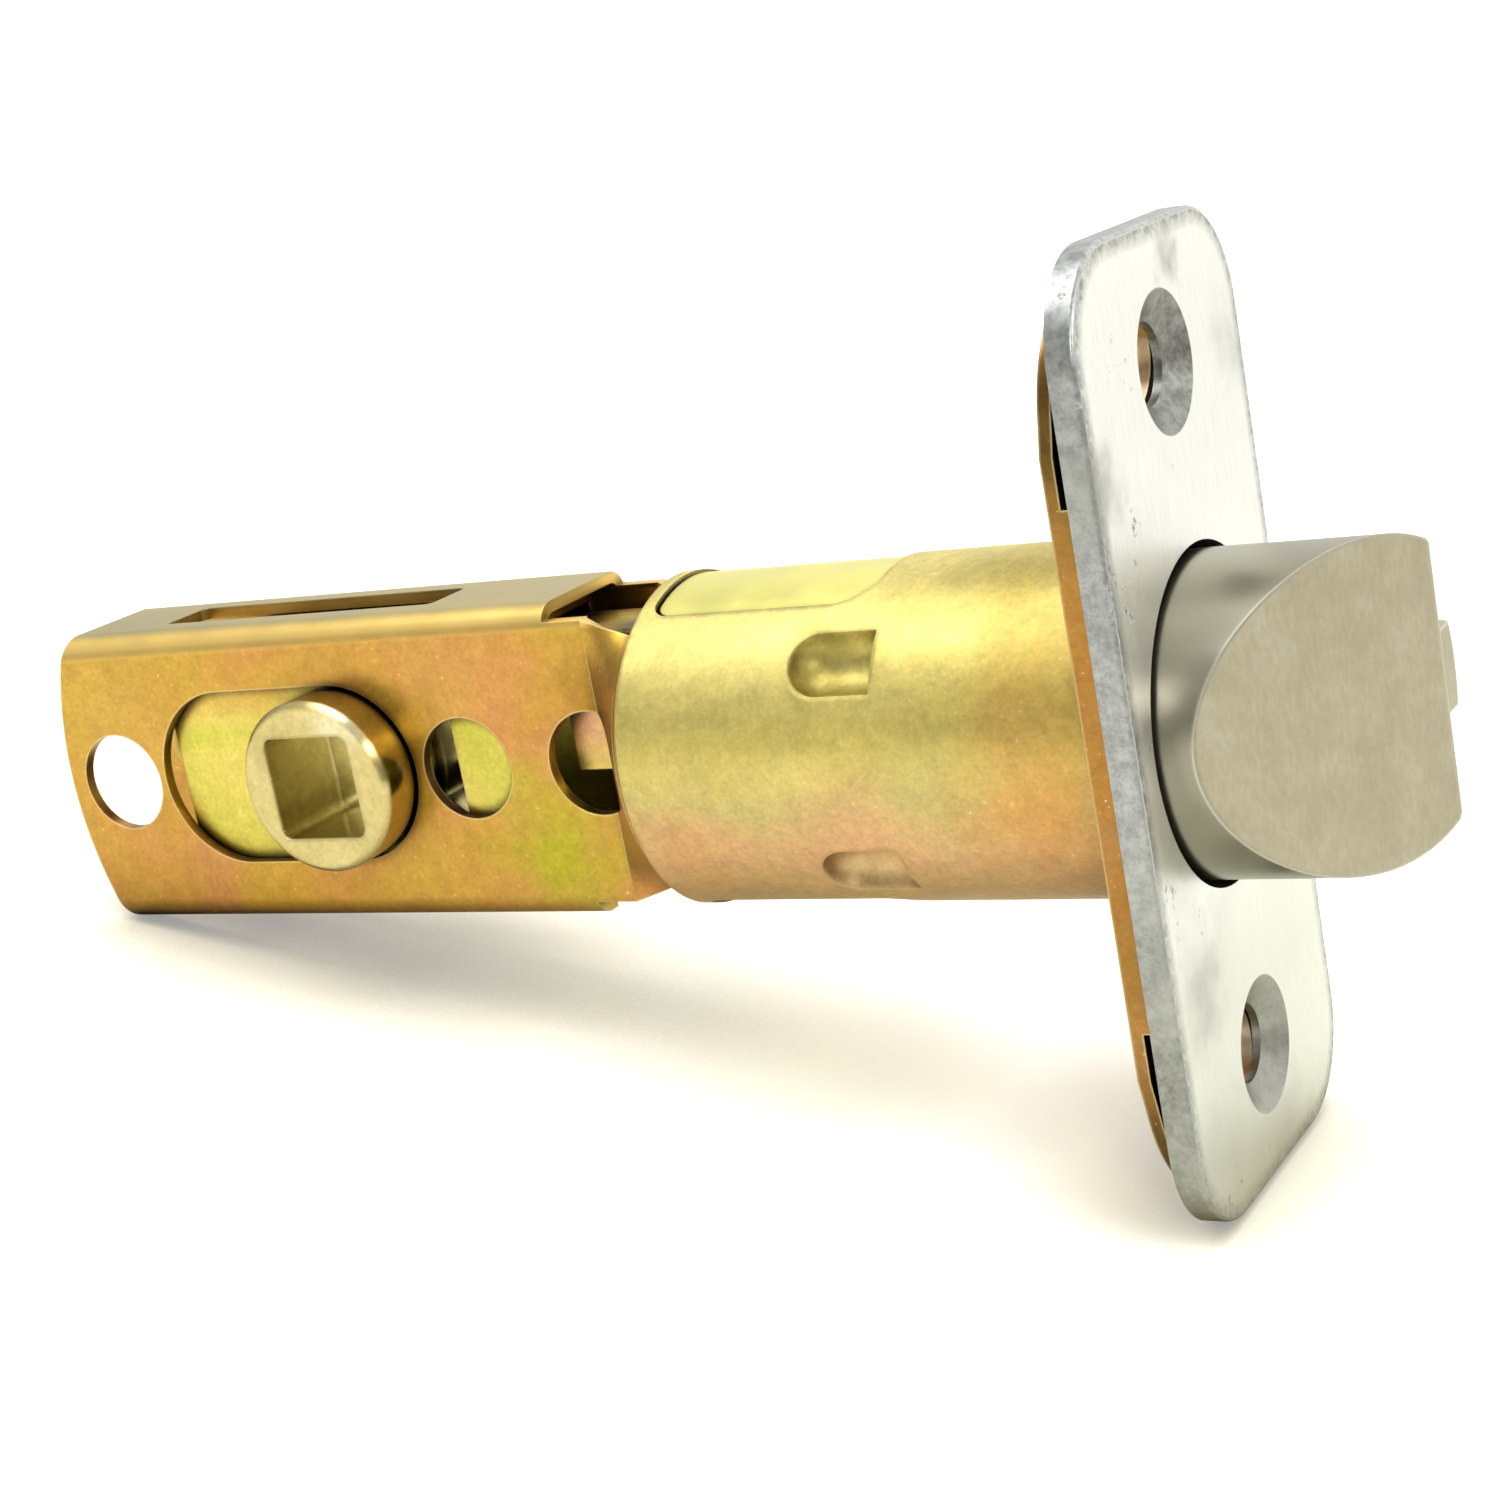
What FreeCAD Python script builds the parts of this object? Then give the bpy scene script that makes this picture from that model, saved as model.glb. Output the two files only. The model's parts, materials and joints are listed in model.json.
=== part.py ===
import FreeCAD, Part
import math
import os

import Sketcher
from FreeCAD import Placement, Rotation, Vector

# Tubular door latch with a deadlocking plunger and an adjustable backset.
# Origin: centre of the faceplate's front face, on the bolt's axis.
# +X runs out along the bolt, +Z up along the faceplate, +Y to the flat back of the bolt.

doc = FreeCAD.newDocument("tubular_latch")

# Driving dimensions, in millimetres and degrees

SIZES = [
    ("plate_width", 25.4, "faceplate along Y"),
    ("plate_thickness", 1.7, "faceplate sheet"),
    ("plate_corner", 6.35, "corner radius of the faceplate"),
    ("plate_edge", 0.35, "rounding of the front rim"),
    ("bolt_play", 0.48, "clearance of the bolt in the faceplate"),
    ("bolt_room", 0.3, "clearance of the bolt in the backing plate"),
    ("screw_spacing", 41.3, "between the two screw holes"),
    ("screw_margin", 7.925, "from a screw hole's centre to the faceplate's end"),
    ("screw_radius", 2.4, "screw hole in the faceplate"),
    ("screw_room", 2.8, "screw hole in the backing plate"),
    ("sink_radius", 4.14, "countersink at the front face"),
    ("sink_angle", 112, "full angle of the countersink"),
    ("backing_width", 24.4, "backing plate along Y"),
    ("backing_inset", 2.175, "backing plate's ends inside the faceplate's ends"),
    ("backing_sheet", 0.8, "backing plate sheet"),
    ("backing_step", 0.6, "space between the two plates"),
    ("backing_bend", 18, "height where the ends curve forward"),
    ("backing_rim", 15.1, "half height of the side rims"),
    ("tube_play", 0.25, "clearance of the bolt in the tube"),
    ("tube_wall", 0.8, "tube sheet"),
    ("tube_rear", 35, "rear end of the tube behind the front face"),
    ("window_front", 18.3, "front end of the tube's windows"),
    ("window_inset", 1.2, "tube's windows in front of its rear end"),
    ("window_half", 5.3, "half width of the tube's windows"),
    ("window_corner", 1.2, "rear corner radius of the tube's windows"),
    ("window_round", 3, "front corner radius of the tube's windows"),
    ("tube_edge", 0.35, "chamfer at the tube's rear rim"),
    ("lance_edge", 17.3, "sheared edge of the four lances"),
    ("lance_length", 5.6, "length of a lance's dent"),
    ("lance_bend", 2.12, "radius of a lance's dent"),
    ("lance_depth", 1.7, "depth of a lance's dent"),
    ("lance_angle", 37.5, "lance's place, from the side of the tube"),
    ("frame_inset", 0.2, "frame's top inside the tube's outline"),
    ("frame_sheet", 0.8, "frame sheet"),
    ("frame_bend", 1.7, "outside bend radius of the frame"),
    ("frame_lip", 2.35, "lips beside the slit under the frame"),
    ("tail_margin", 4.8, "frame behind the rear cross hole's axis"),
    ("tail_radius", 26, "radius of the rounded rear edge"),
    ("flare_length", 3.5, "length of the flare"),
    ("web_off", 3, "web behind the crease"),
    ("cheek_drop", 1.1, "edge of the sides in front of the web, below the frame's top"),
    ("web_window_ahead", 7.825, "web's window in front of the hub's axis"),
    ("web_window_behind", 15.275, "web's window behind the hub's axis"),
    ("web_window_half", 2.15, "half width of the window in the web"),
    ("flare_out", 0.5, "round end of the flare behind the tube"),
    ("sleeve_gap", 0.05, "between the sleeve and the tube"),
    ("sleeve_angle", 57, "half angle of the flared sides"),
    ("sleeve_front", 24, "front end of the sleeve"),
    ("sleeve_inset", 0.8, "closed part of the sleeve inside the tube's rear end"),
    ("tongue_gap", 0.3, "between a tongue and its window"),
    ("tongue_sink", 0.2, "tongue's face below the tube's face"),
    ("post_behind", 10.15, "rear cross hole behind the hub's long setting"),
    ("post_ahead", 10.325, "middle cross hole in front of the hub's axis"),
    ("post_off", 1, "front cross hole behind the crease"),
    ("post_radius", 3.45, "radius of the cross holes"),
    ("backset_change", 9.525, "travel to the long setting"),
    ("hub_step", 0.65, "step from the hub's neck to its bushing"),
    ("hub_wall", 1.8, "hub's neck around the square hole"),
    ("carrier_play", 0.15, "clearance of the carrier plates in the frame"),
    ("hub_stand", 3.25, "hub beyond the frame's side"),
    ("hub_edge", 0.35, "chamfer at the hub's ends"),
    ("hub_play", 0.1, "running clearance of the hub"),
    ("window_play", 0.2, "clearance of the hub in the frame's window"),
    ("spindle_side", 7, "side of the square hole"),
    ("spindle_corner", 0.7, "corner radius of the square hole"),
    ("cam_half", 1.7, "half thickness of the cam"),
    ("finger_over", 1.9, "a finger's tip beyond the yoke pins"),
    ("finger_half", 1.3, "half width of a finger"),
    ("finger_angle", 40, "finger's angle at rest"),
    ("yoke_play", 0.3, "clearance of the yoke between the carrier plates"),
    ("carrier_sheet", 0.8, "carrier plate sheet"),
    ("carrier_gap", 2.9, "carrier plates behind the guide box"),
    ("carrier_lip", 0.825, "carrier plates in front of the hub's hole"),
    ("carrier_reach", 14.675, "carrier plates behind the hub's axis"),
    ("carrier_corner", 4.8, "rear corner radius of the carrier plates"),
    ("carrier_nose", 1.5, "front corner radius of the carrier plates"),
    ("rivet_inset", 2.5, "spacer rivets in front of the carrier plates' rear end"),
    ("rivet_margin", 2.1, "spacer rivets inside the carrier plates' edge"),
    ("rivet_radius", 1.2, "spacer rivet between the plates"),
    ("rivet_neck", 0.8, "spacer rivet in the plates"),
    ("guide_off", 2, "guide box behind the web's front end"),
    ("guide_length", 7.2, "length of the guide box"),
    ("guide_play", 0.3, "clearance of the guide box under the web"),
    ("cam_play", 0.5, "clearance of the cam in the yoke"),
    ("yoke_side", 1, "thickness of the yoke's sides"),
    ("yoke_room", 0.95, "clearance of the yoke in the sleeve"),
    ("yoke_sheet", 0.8, "thickness of the yoke's top and bottom"),
    ("arm_depth", 1.8, "depth of the yoke's rear arms"),
    ("yoke_short", 3.125, "yoke's rear end in front of the hub's axis"),
    ("yoke_nose", 2.375, "yoke in front of its slot's front end"),
    ("strap_width", 3, "width of the yoke's side straps"),
    ("strap_out", 3.1, "side straps behind the cross pin"),
    ("strap_foot", 1, "foot of the near strap, below the axis"),
    ("yoke_pin_lead", 4.45, "yoke pin in front of the hub's axis"),
    ("yoke_pin_depth", 1, "yoke pins below the yoke's top"),
    ("yoke_pin_radius", 0.75, "yoke pin"),
    ("plunger_play", 0.2, "plunger's back inside the bolt's outline"),
    ("bolt_throw", 12, "bolt in front of the faceplate"),
    ("bolt_shoulder", 5.5, "rear end of the bolt's full diameter"),
    ("shoulder_width", 1.85, "width of the bolt's shoulder"),
    ("bolt_rear", 12, "rear end of the bolt's neck"),
    ("bevel_start", 2.05, "where the bevel starts on the near side"),
    ("tip_width", 0.5, "flat tip between the bevel and the flat back"),
    ("bevel_radius", 46, "radius of the bevel's long curve"),
    ("pocket_wall", 0.7, "wall between the spring pocket and the plunger's channel"),
    ("flat_start", 0.2, "rear end of the flat, behind the front face"),
    ("channel_play", 0.3, "clearance of the plunger in its channel"),
    ("bolt_nose", 0.4, "rounding of the bolt's tip"),
    ("spring_room", 0.3, "clearance of the bolt's spring on the collar and in its pocket"),
    ("pocket_floor", 4, "floor of the spring pocket"),
    ("rod_radius", 2, "bolt's rod"),
    ("rod_end", 1.5, "rod behind the cross pin"),
    ("rod_pin_radius", 0.8, "cross pin in the rod"),
    ("rod_pin_out", 1.1, "cross pin behind the spring seat"),
    ("rod_pin_over", 0.15, "cross pin's end beyond the yoke"),
    ("slot_play", 0.3, "clearance of the cross pin in the yoke's slot"),
    ("seat_gap", 0.15, "clearance of the spring seat in the sleeve"),
    ("seat_inset", 0.6, "spring seat in front of the tube's rear end"),
    ("seat_thickness", 1, "spring seat sheet"),
    ("seat_play", 0.3, "clearance of the rod and the yoke in the seat"),
    ("collar_wall", 0.9, "wall of the collar that centres the bolt's spring"),
    ("collar_height", 0.8, "height of that collar"),
    ("spring_wire", 0.4, "wire radius of the bolt's spring"),
    ("spring_turns", 11, "turns of the bolt's spring"),
    ("plunger_depth", 3.85, "plunger from its inner face to its round back"),
    ("plunger_half", 2.5, "half width of the plunger"),
    ("plunger_short", 0.4, "plunger's tip behind the bolt's tip"),
    ("plunger_rear", 8.5, "rear end of the plunger"),
    ("plunger_nose", 0.8, "rounding of the plunger's tip"),
    ("stem_radius", 0.9, "plunger's stem"),
    ("stem_rise", 1.6, "stem's axis above the plunger's inner face"),
    ("stem_rear", 20, "rear end of the stem"),
    ("coil_radius", 1.35, "mean radius of the plunger's spring"),
    ("coil_wire", 0.22, "wire radius of the plunger's spring"),
    ("coil_turns", 13, "turns of the plunger's spring"),
    ("spring_seat_gap", 0.05, "between a spring's end and its seat"),
]

# Dimensions that follow from the driving ones

FOLLOWING = [
    ("plate_length", "screw_spacing + 2 * screw_margin", "faceplate along Z"),
    ("seat_collar", "rod_radius + seat_play + collar_wall", "collar that centres the spring"),
    ("spring_radius", "seat_collar + spring_room + spring_wire", "mean radius of the bolt's spring"),
    ("pocket_radius", "spring_radius + spring_wire + spring_room", "spring pocket in the bolt"),
    ("bolt_flat", "pocket_radius + pocket_wall", "flat back of the bolt, from the axis"),
    ("plunger_floor", "bolt_flat + channel_play", "inner face of the plunger"),
    ("plunger_radius", "plunger_floor + plunger_depth", "outer face of the plunger"),
    ("channel_half", "plunger_half + channel_play", "half width of the plunger's channel"),
    ("stem_height", "plunger_floor + stem_rise", "stem's distance from the axis"),
    ("bolt_radius", "plunger_radius + plunger_play", "bolt"),
    ("bolt_neck", "bolt_radius - shoulder_width", "radius of the bolt's neck"),
    ("bevel_tip", "bolt_flat - tip_width", "where the bevel meets the tip"),
    ("plunger_tip", "bolt_throw - plunger_short", "plunger in front of the faceplate"),
    ("tube_radius", "bolt_radius + tube_play + tube_wall", "outside of the tube"),
    ("frame_top", "tube_radius - frame_inset", "half height of the frame, outside"),
    ("cheek_top", "frame_top - cheek_drop", "half height of the sides in front of the web"),
    ("guide_top", "frame_top - frame_sheet - guide_play", "half height of the guide box"),
    ("carrier_top", "frame_top - frame_bend", "half height of the carrier plates"),
    ("rivet_height", "carrier_top - rivet_margin", "spacer rivets above and below the axis"),
    ("seat_radius", "tube_radius - tube_wall - sleeve_gap - frame_sheet - seat_gap", "spring seat"),
    ("yoke_top", "tube_radius - tube_wall - sleeve_gap - frame_sheet - yoke_room", "half height of the yoke"),
    ("yoke_arm", "yoke_top - arm_depth", "lower edge of the yoke's rear arms"),
    ("yoke_pin_height", "yoke_top - yoke_pin_depth", "yoke pin above the hub's axis"),
    ("finger_reach", "yoke_pin_height + finger_over", "centre of a finger's tip from the hub's axis"),
    ("rod_pin_half", "yoke_top + rod_pin_over", "half length of the cross pin"),
    ("yoke_half", "cam_half + cam_play + yoke_side", "half width of the yoke"),
    ("carrier_inner", "yoke_half + yoke_play", "inner face of the carrier plates"),
    ("hub_shoulder", "carrier_inner + carrier_sheet + carrier_play", "where the hub's neck begins"),
    ("frame_half", "hub_shoulder + frame_sheet", "half width of the frame, outside"),
    ("frame_slit", "frame_half - frame_lip", "half width of the slit under the frame"),
    ("hub_half", "frame_half + hub_stand", "half length of the hub"),
    ("hub_neck", "spindle_side / 2 + hub_wall", "hub in the carrier plates"),
    ("hub_radius", "hub_neck + hub_step", "hub's bushing outside the frame"),
    ("seat_front", "tube_rear - seat_inset", "front face of the spring seat"),
    ("rod_pin_back", "seat_front + seat_thickness + rod_pin_out", "cross pin behind the front face"),
    ("rod_rear", "rod_pin_back + rod_end", "rear end of the rod"),
    ("yoke_front", "rod_pin_back - backset_change - yoke_nose", "front end of the yoke"),
    ("strap_front", "rod_pin_back + strap_out", "front edge of the yoke's side straps"),
    ("strap_rear", "strap_front + strap_width", "rear edge of the yoke's side straps"),
    ("flare_front", "tube_rear + flare_out", "where the flare becomes round"),
    ("frame_crease", "flare_front + flare_length", "where the flat sides start to flare"),
    ("post_front", "frame_crease + post_off", "front cross hole in the frame"),
    ("web_front", "frame_crease + web_off", "front end of the frame's web"),
    ("guide_front", "web_front + guide_off", "front end of the guide box"),
    ("guide_rear", "guide_front + guide_length", "rear end of the guide box"),
    ("sleeve_rear", "tube_rear - sleeve_inset", "rear end of the closed part of the sleeve"),
    ("window_rear", "tube_rear - window_inset", "rear end of the tube's windows"),
    ("carrier_front", "guide_rear + carrier_gap", "front end of the carrier plates"),
    ("backset", "carrier_front + carrier_lip + hub_play + hub_neck", "hub's axis behind the front face, short setting"),
    ("carrier_rear", "backset + carrier_reach", "rear end of the carrier plates"),
    ("rivet_back", "carrier_rear - rivet_inset", "spacer rivets behind the front face"),
    ("post_rear", "backset + backset_change + post_behind", "rear cross hole in the frame"),
    ("post_middle", "backset - post_ahead", "middle cross hole in the frame"),
    ("web_window_front", "backset - web_window_ahead", "front end of the window in the web"),
    ("web_window_rear", "backset + web_window_behind", "rear end of the window in the web"),
    ("frame_tail", "post_rear + tail_margin", "rear end of the frame"),
    ("yoke_rear", "backset - yoke_short", "rear end of the yoke"),
]

sheet = doc.addObject("Spreadsheet::Sheet", "Sizes")
for row, (alias, number, note) in enumerate(SIZES, start=1):
    sheet.set(f"A{row}", note)
    sheet.set(f"B{row}", str(number))
    sheet.setAlias(f"B{row}", alias)
for row, (alias, formula, note) in enumerate(FOLLOWING, start=len(SIZES) + 1):
    sheet.set(f"A{row}", note)
    sheet.set(f"B{row}", f"={formula}")
    sheet.setAlias(f"B{row}", alias)
doc.recompute()


class Size:
    """A length or an angle that carries its number and its sheet expression."""

    def __init__(self, number, text):
        self.number = number
        self.text = text

    @staticmethod
    def of(thing):
        return thing if isinstance(thing, Size) else Size(float(thing), repr(thing))

    def __add__(self, other):
        other = Size.of(other)
        return Size(self.number + other.number, f"({self.text} + {other.text})")

    def __radd__(self, other):
        return Size.of(other) + self

    def __sub__(self, other):
        other = Size.of(other)
        return Size(self.number - other.number, f"({self.text} - {other.text})")

    def __rsub__(self, other):
        return Size.of(other) - self

    def __mul__(self, other):
        other = Size.of(other)
        return Size(self.number * other.number, f"({self.text} * {other.text})")

    def __rmul__(self, other):
        return Size.of(other) * self

    def __truediv__(self, other):
        other = Size.of(other)
        return Size(self.number / other.number, f"({self.text} / {other.text})")

    def __neg__(self):
        return Size(-self.number, f"(-1 * {self.text})")


class Sizes:
    """The sheet's cells, by name."""


S = Sizes()
for alias, _, _ in SIZES + FOLLOWING:
    setattr(S, alias, Size(float(sheet.get(alias)), f"Sizes.{alias}"))


def cosine(angle):
    return Size(math.cos(math.radians(angle.number)), f"cos({angle.text} * 1 deg)")


def sine(angle):
    return Size(math.sin(math.radians(angle.number)), f"sin({angle.text} * 1 deg)")


def root(square):
    return Size(math.sqrt(square.number), f"sqrt({square.text})")


# Helpers: each makes one object and binds its sizes to the sheet

def bind(thing, name, size):
    thing.setExpression(name, Size.of(size).text)


def place(thing, x=0, y=0, z=0, turn=None):
    """Set a place from sizes; turn is a Rotation."""
    thing.Placement = Placement(Vector(0, 0, 0), turn or Rotation())
    for axis, size in zip("xyz", (x, y, z)):
        bind(thing, f"Placement.Base.{axis}", size)
    return thing


TURNS = {"x": Rotation(Vector(0, 1, 0), 90), "y": Rotation(Vector(1, 0, 0), -90), "z": Rotation()}


def cylinder(name, radius, low, high, axis="x", centre=(0, 0)):
    """Cylinder along an axis between low and high; centre is its place across that axis."""
    rod = doc.addObject("Part::Cylinder", name)
    bind(rod, "Radius", radius)
    bind(rod, "Height", Size.of(high) - low)
    spots = {"x": (low, *centre), "y": (centre[0], low, centre[1]), "z": (*centre, low)}
    return place(rod, *spots[axis], turn=TURNS[axis])


def box(name, x, y, z):
    """Box between the pairs x, y and z."""
    block = doc.addObject("Part::Box", name)
    for prop, (low, high) in zip(("Length", "Width", "Height"), (x, y, z)):
        bind(block, prop, Size.of(high) - low)
    return place(block, x[0], y[0], z[0])


def fuse(name, shapes):
    joined = doc.addObject("Part::MultiFuse", name)
    joined.Shapes = shapes
    joined.Refine = True
    return joined


def common(name, shapes):
    shared = doc.addObject("Part::MultiCommon", name)
    shared.Shapes = shapes
    return shared


def cut(name, base, tools):
    tool = tools[0] if len(tools) == 1 else fuse(name + "_tools", tools)
    rest = doc.addObject("Part::Cut", name)
    rest.Base = base
    rest.Tool = tool
    rest.Refine = True
    return rest


def new_body(name):
    return doc.addObject("PartDesign::Body", name)


def new_sketch(body, role, name, offset=None):
    """Sketch on one of the body's own origin planes, moved along its normal by offset."""
    sketch = body.newObject("Sketcher::SketchObject", name)
    plane = next(item for item in body.Origin.OriginFeatures if item.Role == role)
    sketch.AttachmentSupport = (plane, [""])
    sketch.MapMode = "FlatFace"
    if offset is not None:
        bind(sketch, "AttachmentOffset.Base.z", offset)
    return sketch


def dimension(sketch, kind, where, size):
    """Add one driving dimension and bind it to its size."""
    number = sketch.addConstraint(Sketcher.Constraint(kind, *where, Size.of(size).number))
    sketch.setExpression(f"Constraints[{number}]", Size.of(size).text)


def pin_point(sketch, edge, end, across, up):
    """Hold one point of the sketch at its two coordinates."""
    dimension(sketch, "DistanceX", (-1, 1, edge, end), across)
    dimension(sketch, "DistanceY", (-1, 1, edge, end), up)


def add_circle(sketch, across, up, radius):
    centre = Vector(Size.of(across).number, Size.of(up).number, 0)
    edge = sketch.addGeometry(Part.Circle(centre, Vector(0, 0, 1), Size.of(radius).number))
    pin_point(sketch, edge, 3, across, up)
    dimension(sketch, "Radius", (edge,), radius)


def add_outline(sketch, points, arcs=None):
    """Closed outline through points; arcs maps an edge's number to its signed radius.

    A positive radius bulges to the right of the edge's direction.
    """
    arcs = arcs or {}
    spots = [Vector(Size.of(a).number, Size.of(b).number, 0) for a, b in points]
    edges = []
    turned = []
    for number, start in enumerate(spots):
        stop = spots[(number + 1) % len(spots)]
        if number not in arcs:
            edges.append(sketch.addGeometry(Part.LineSegment(start, stop)))
            turned.append(False)
            continue
        radius = Size.of(arcs[number]).number
        chord = stop - start
        side = Vector(chord.y, -chord.x, 0).normalize()
        reach = abs(radius)
        sag = reach - math.sqrt(max(reach ** 2 - (chord.Length / 2) ** 2, 0))
        middle = (start + stop) * 0.5 + side * math.copysign(sag, radius)
        edges.append(sketch.addGeometry(Part.Arc(start, middle, stop)))
        turned.append(radius < 0)
    for number, edge in enumerate(edges):
        head = 2 if turned[number] else 1
        pin_point(sketch, edge, head, *points[number])
        follower = (number + 1) % len(edges)
        tail = 1 if turned[number] else 2
        next_head = 2 if turned[follower] else 1
        sketch.addConstraint(Sketcher.Constraint("Coincident", edge, tail, edges[follower], next_head))
        if number in arcs:
            radius = Size.of(arcs[number])
            chord = (spots[(number + 1) % len(spots)] - spots[number]).Length
            if abs(chord - 2 * abs(radius.number)) < 1e-6:
                dimension(sketch, "DistanceX", (-1, 1, edge, 3), points[number][0])
            else:
                dimension(sketch, "Radius", (edge,), radius if radius.number > 0 else -radius)


def add_rectangle(sketch, low, high, corner=None, round_end=None):
    """Rectangle between two corners, rounded by corner, or by round_end at its far end."""
    (a, b), (c, d) = low, high
    if corner is None:
        add_outline(sketch, [(a, b), (c, b), (c, d), (a, d)])
        return
    a, b, c, d = (Size.of(edge) for edge in (a, b, c, d))
    far = round_end or corner
    points = [(a + corner, b), (c - far, b), (c, b + far), (c, d - far),
              (c - far, d), (a + corner, d), (a, d - corner), (a, b + corner)]
    add_outline(sketch, points, {1: far, 3: far, 5: corner, 7: corner})


def pad(body, sketch, length, midplane=False, back=False):
    feature = body.newObject("PartDesign::Pad", sketch.Name + "_pad")
    feature.Profile = sketch
    bind(feature, "Length", length)
    feature.Midplane = midplane
    feature.Reversed = back
    return feature


def pocket(body, sketch, length=None, midplane=False, back=False):
    """Cut along the sketch's normal reversed, through all where no length is given."""
    feature = body.newObject("PartDesign::Pocket", sketch.Name + "_pocket")
    feature.Profile = sketch
    feature.Midplane = midplane
    feature.Reversed = back
    if length is None:
        feature.Type = "ThroughAll"
    else:
        bind(feature, "Length", length)
    return feature


def edges_where(shape, test):
    return [f"Edge{n}" for n, edge in enumerate(shape.Edges, start=1) if test(edge)]


def round_edges(body, base, name, size, test, kind="Fillet"):
    """Round or bevel the edges of the base feature that pass the test."""
    doc.recompute()
    feature = body.newObject(f"PartDesign::{kind}", name)
    feature.Base = (base, edges_where(base.Shape, test))
    bind(feature, "Radius" if kind == "Fillet" else "Size", size)
    return feature


EVERYWHERE = 60

# Faceplate: a flat rounded strip with the bolt's hole and two countersunk screw holes

faceplate = new_body("faceplate")
sketch = new_sketch(faceplate, "YZ_Plane", "faceplate_outline")
add_rectangle(sketch, (S.plate_width / -2, S.plate_length / -2),
              (S.plate_width / 2, S.plate_length / 2), S.plate_corner)
blank = pad(faceplate, sketch, S.plate_thickness, back=True)
sketch = new_sketch(faceplate, "YZ_Plane", "faceplate_bolt_hole")
add_circle(sketch, 0, 0, S.bolt_radius + S.bolt_play)
pierced = pocket(faceplate, sketch)
rim = round_edges(faceplate, pierced, "faceplate_rim", S.plate_edge,
                  lambda edge: edge.BoundBox.XMin > -1e-6
                  and max(abs(edge.CenterOfMass.y), abs(edge.CenterOfMass.z)) > 1)
sketch = new_sketch(faceplate, "YZ_Plane", "faceplate_screw_holes")
add_circle(sketch, 0, S.screw_spacing / 2, S.screw_radius)
add_circle(sketch, 0, S.screw_spacing / -2, S.screw_radius)
doc.recompute()
holes = faceplate.newObject("PartDesign::Hole", "faceplate_countersinks")
holes.Profile = sketch
doc.recompute()
holes.DepthType = "ThroughAll"
holes.HoleCutType = "Countersink"
holes.HoleCutCustomValues = True
bind(holes, "Diameter", 2 * S.screw_radius)
bind(holes, "HoleCutDiameter", 2 * S.sink_radius)
bind(holes, "HoleCutCountersinkAngle", S.sink_angle)

# Backing plate: a thin sheet that stands off the faceplate on two side rims, its ends curved forward

plates_back = S.plate_thickness + S.backing_step + S.backing_sheet
half = S.plate_length / 2 - S.backing_inset
backplate = new_body("backplate")
sketch = new_sketch(backplate, "XZ_Plane", "backplate_side")
step = S.backing_step
rise = half - S.backing_bend
bend_radius = (rise * rise + step * step) / (2 * step)
inner_radius = bend_radius - S.backing_sheet
inner_end = S.backing_bend + root(inner_radius * inner_radius
                                  - (inner_radius - step) * (inner_radius - step))
front = -(plates_back - S.backing_sheet)
add_outline(sketch, [
    (-plates_back, -S.backing_bend), (-plates_back + step, -half),
    (-S.plate_thickness, -half), (-S.plate_thickness, -inner_end), (front, -S.backing_bend),
    (front, S.backing_bend), (-S.plate_thickness, inner_end), (-S.plate_thickness, half),
    (-plates_back + step, half), (-plates_back, S.backing_bend),
], {0: -bend_radius, 3: inner_radius, 5: inner_radius, 8: -bend_radius})
pad(backplate, sketch, S.backing_width, midplane=True)
sketch = new_sketch(backplate, "YZ_Plane", "backplate_rims", -S.plate_thickness)
for side in (1, -1):
    outer = S.backing_width / 2
    inner = outer - S.backing_sheet
    low, high = (inner, outer) if side > 0 else (-outer, -inner)
    add_rectangle(sketch, (low, -S.backing_rim), (high, S.backing_rim))
pad(backplate, sketch, step, back=True)
sketch = new_sketch(backplate, "YZ_Plane", "backplate_outline")
add_rectangle(sketch, (-EVERYWHERE, -EVERYWHERE), (EVERYWHERE, EVERYWHERE))
add_rectangle(sketch, (S.backing_width / -2, -half), (S.backing_width / 2, half), S.plate_corner)
pocket(backplate, sketch)
sketch = new_sketch(backplate, "YZ_Plane", "backplate_holes")
add_circle(sketch, 0, 0, S.bolt_radius + S.bolt_room)
add_circle(sketch, 0, S.screw_spacing / 2, S.screw_room)
add_circle(sketch, 0, S.screw_spacing / -2, S.screw_room)
pocket(backplate, sketch)

# Tube: a plain tube with a window above and below and four inward lances that stop the bolt

tube_bore = S.tube_radius - S.tube_wall
tube_blank = new_body("tube_blank")
sketch = new_sketch(tube_blank, "YZ_Plane", "tube_section", -plates_back)
add_circle(sketch, 0, 0, S.tube_radius)
add_circle(sketch, 0, 0, tube_bore)
pad(tube_blank, sketch, S.tube_rear - plates_back, back=True)
sketch = new_sketch(tube_blank, "XY_Plane", "tube_windows")
add_rectangle(sketch, (-S.window_rear, -S.window_half), (-S.window_front, S.window_half),
              S.window_corner, S.window_round)
opened = pocket(tube_blank, sketch, midplane=True)
round_edges(tube_blank, opened, "tube_rear_rim", S.tube_edge,
            lambda edge: edge.BoundBox.XMax < -S.tube_rear.number + 1e-6
            and edge.Length > 2 * math.pi * tube_bore.number + 1, "Chamfer")


def scoop(name, grow, angle):
    """A round-ended rod along X that dents the tube's wall behind the lance's sheared edge."""
    radius = S.lance_bend + grow
    level = S.tube_radius - S.lance_depth + S.lance_bend
    centre = (-level * cosine(angle), -level * sine(angle))
    turn_centre = -S.lance_edge - S.lance_length + S.lance_bend
    rod = doc.addObject("Part::Cylinder", name + "_rod")
    bind(rod, "Radius", radius)
    bind(rod, "Height", S.lance_length)
    place(rod, turn_centre, *centre, turn=TURNS["x"])
    ball = doc.addObject("Part::Sphere", name + "_end")
    bind(ball, "Radius", radius)
    place(ball, turn_centre, *centre)
    return fuse(name, [rod, ball])


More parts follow.
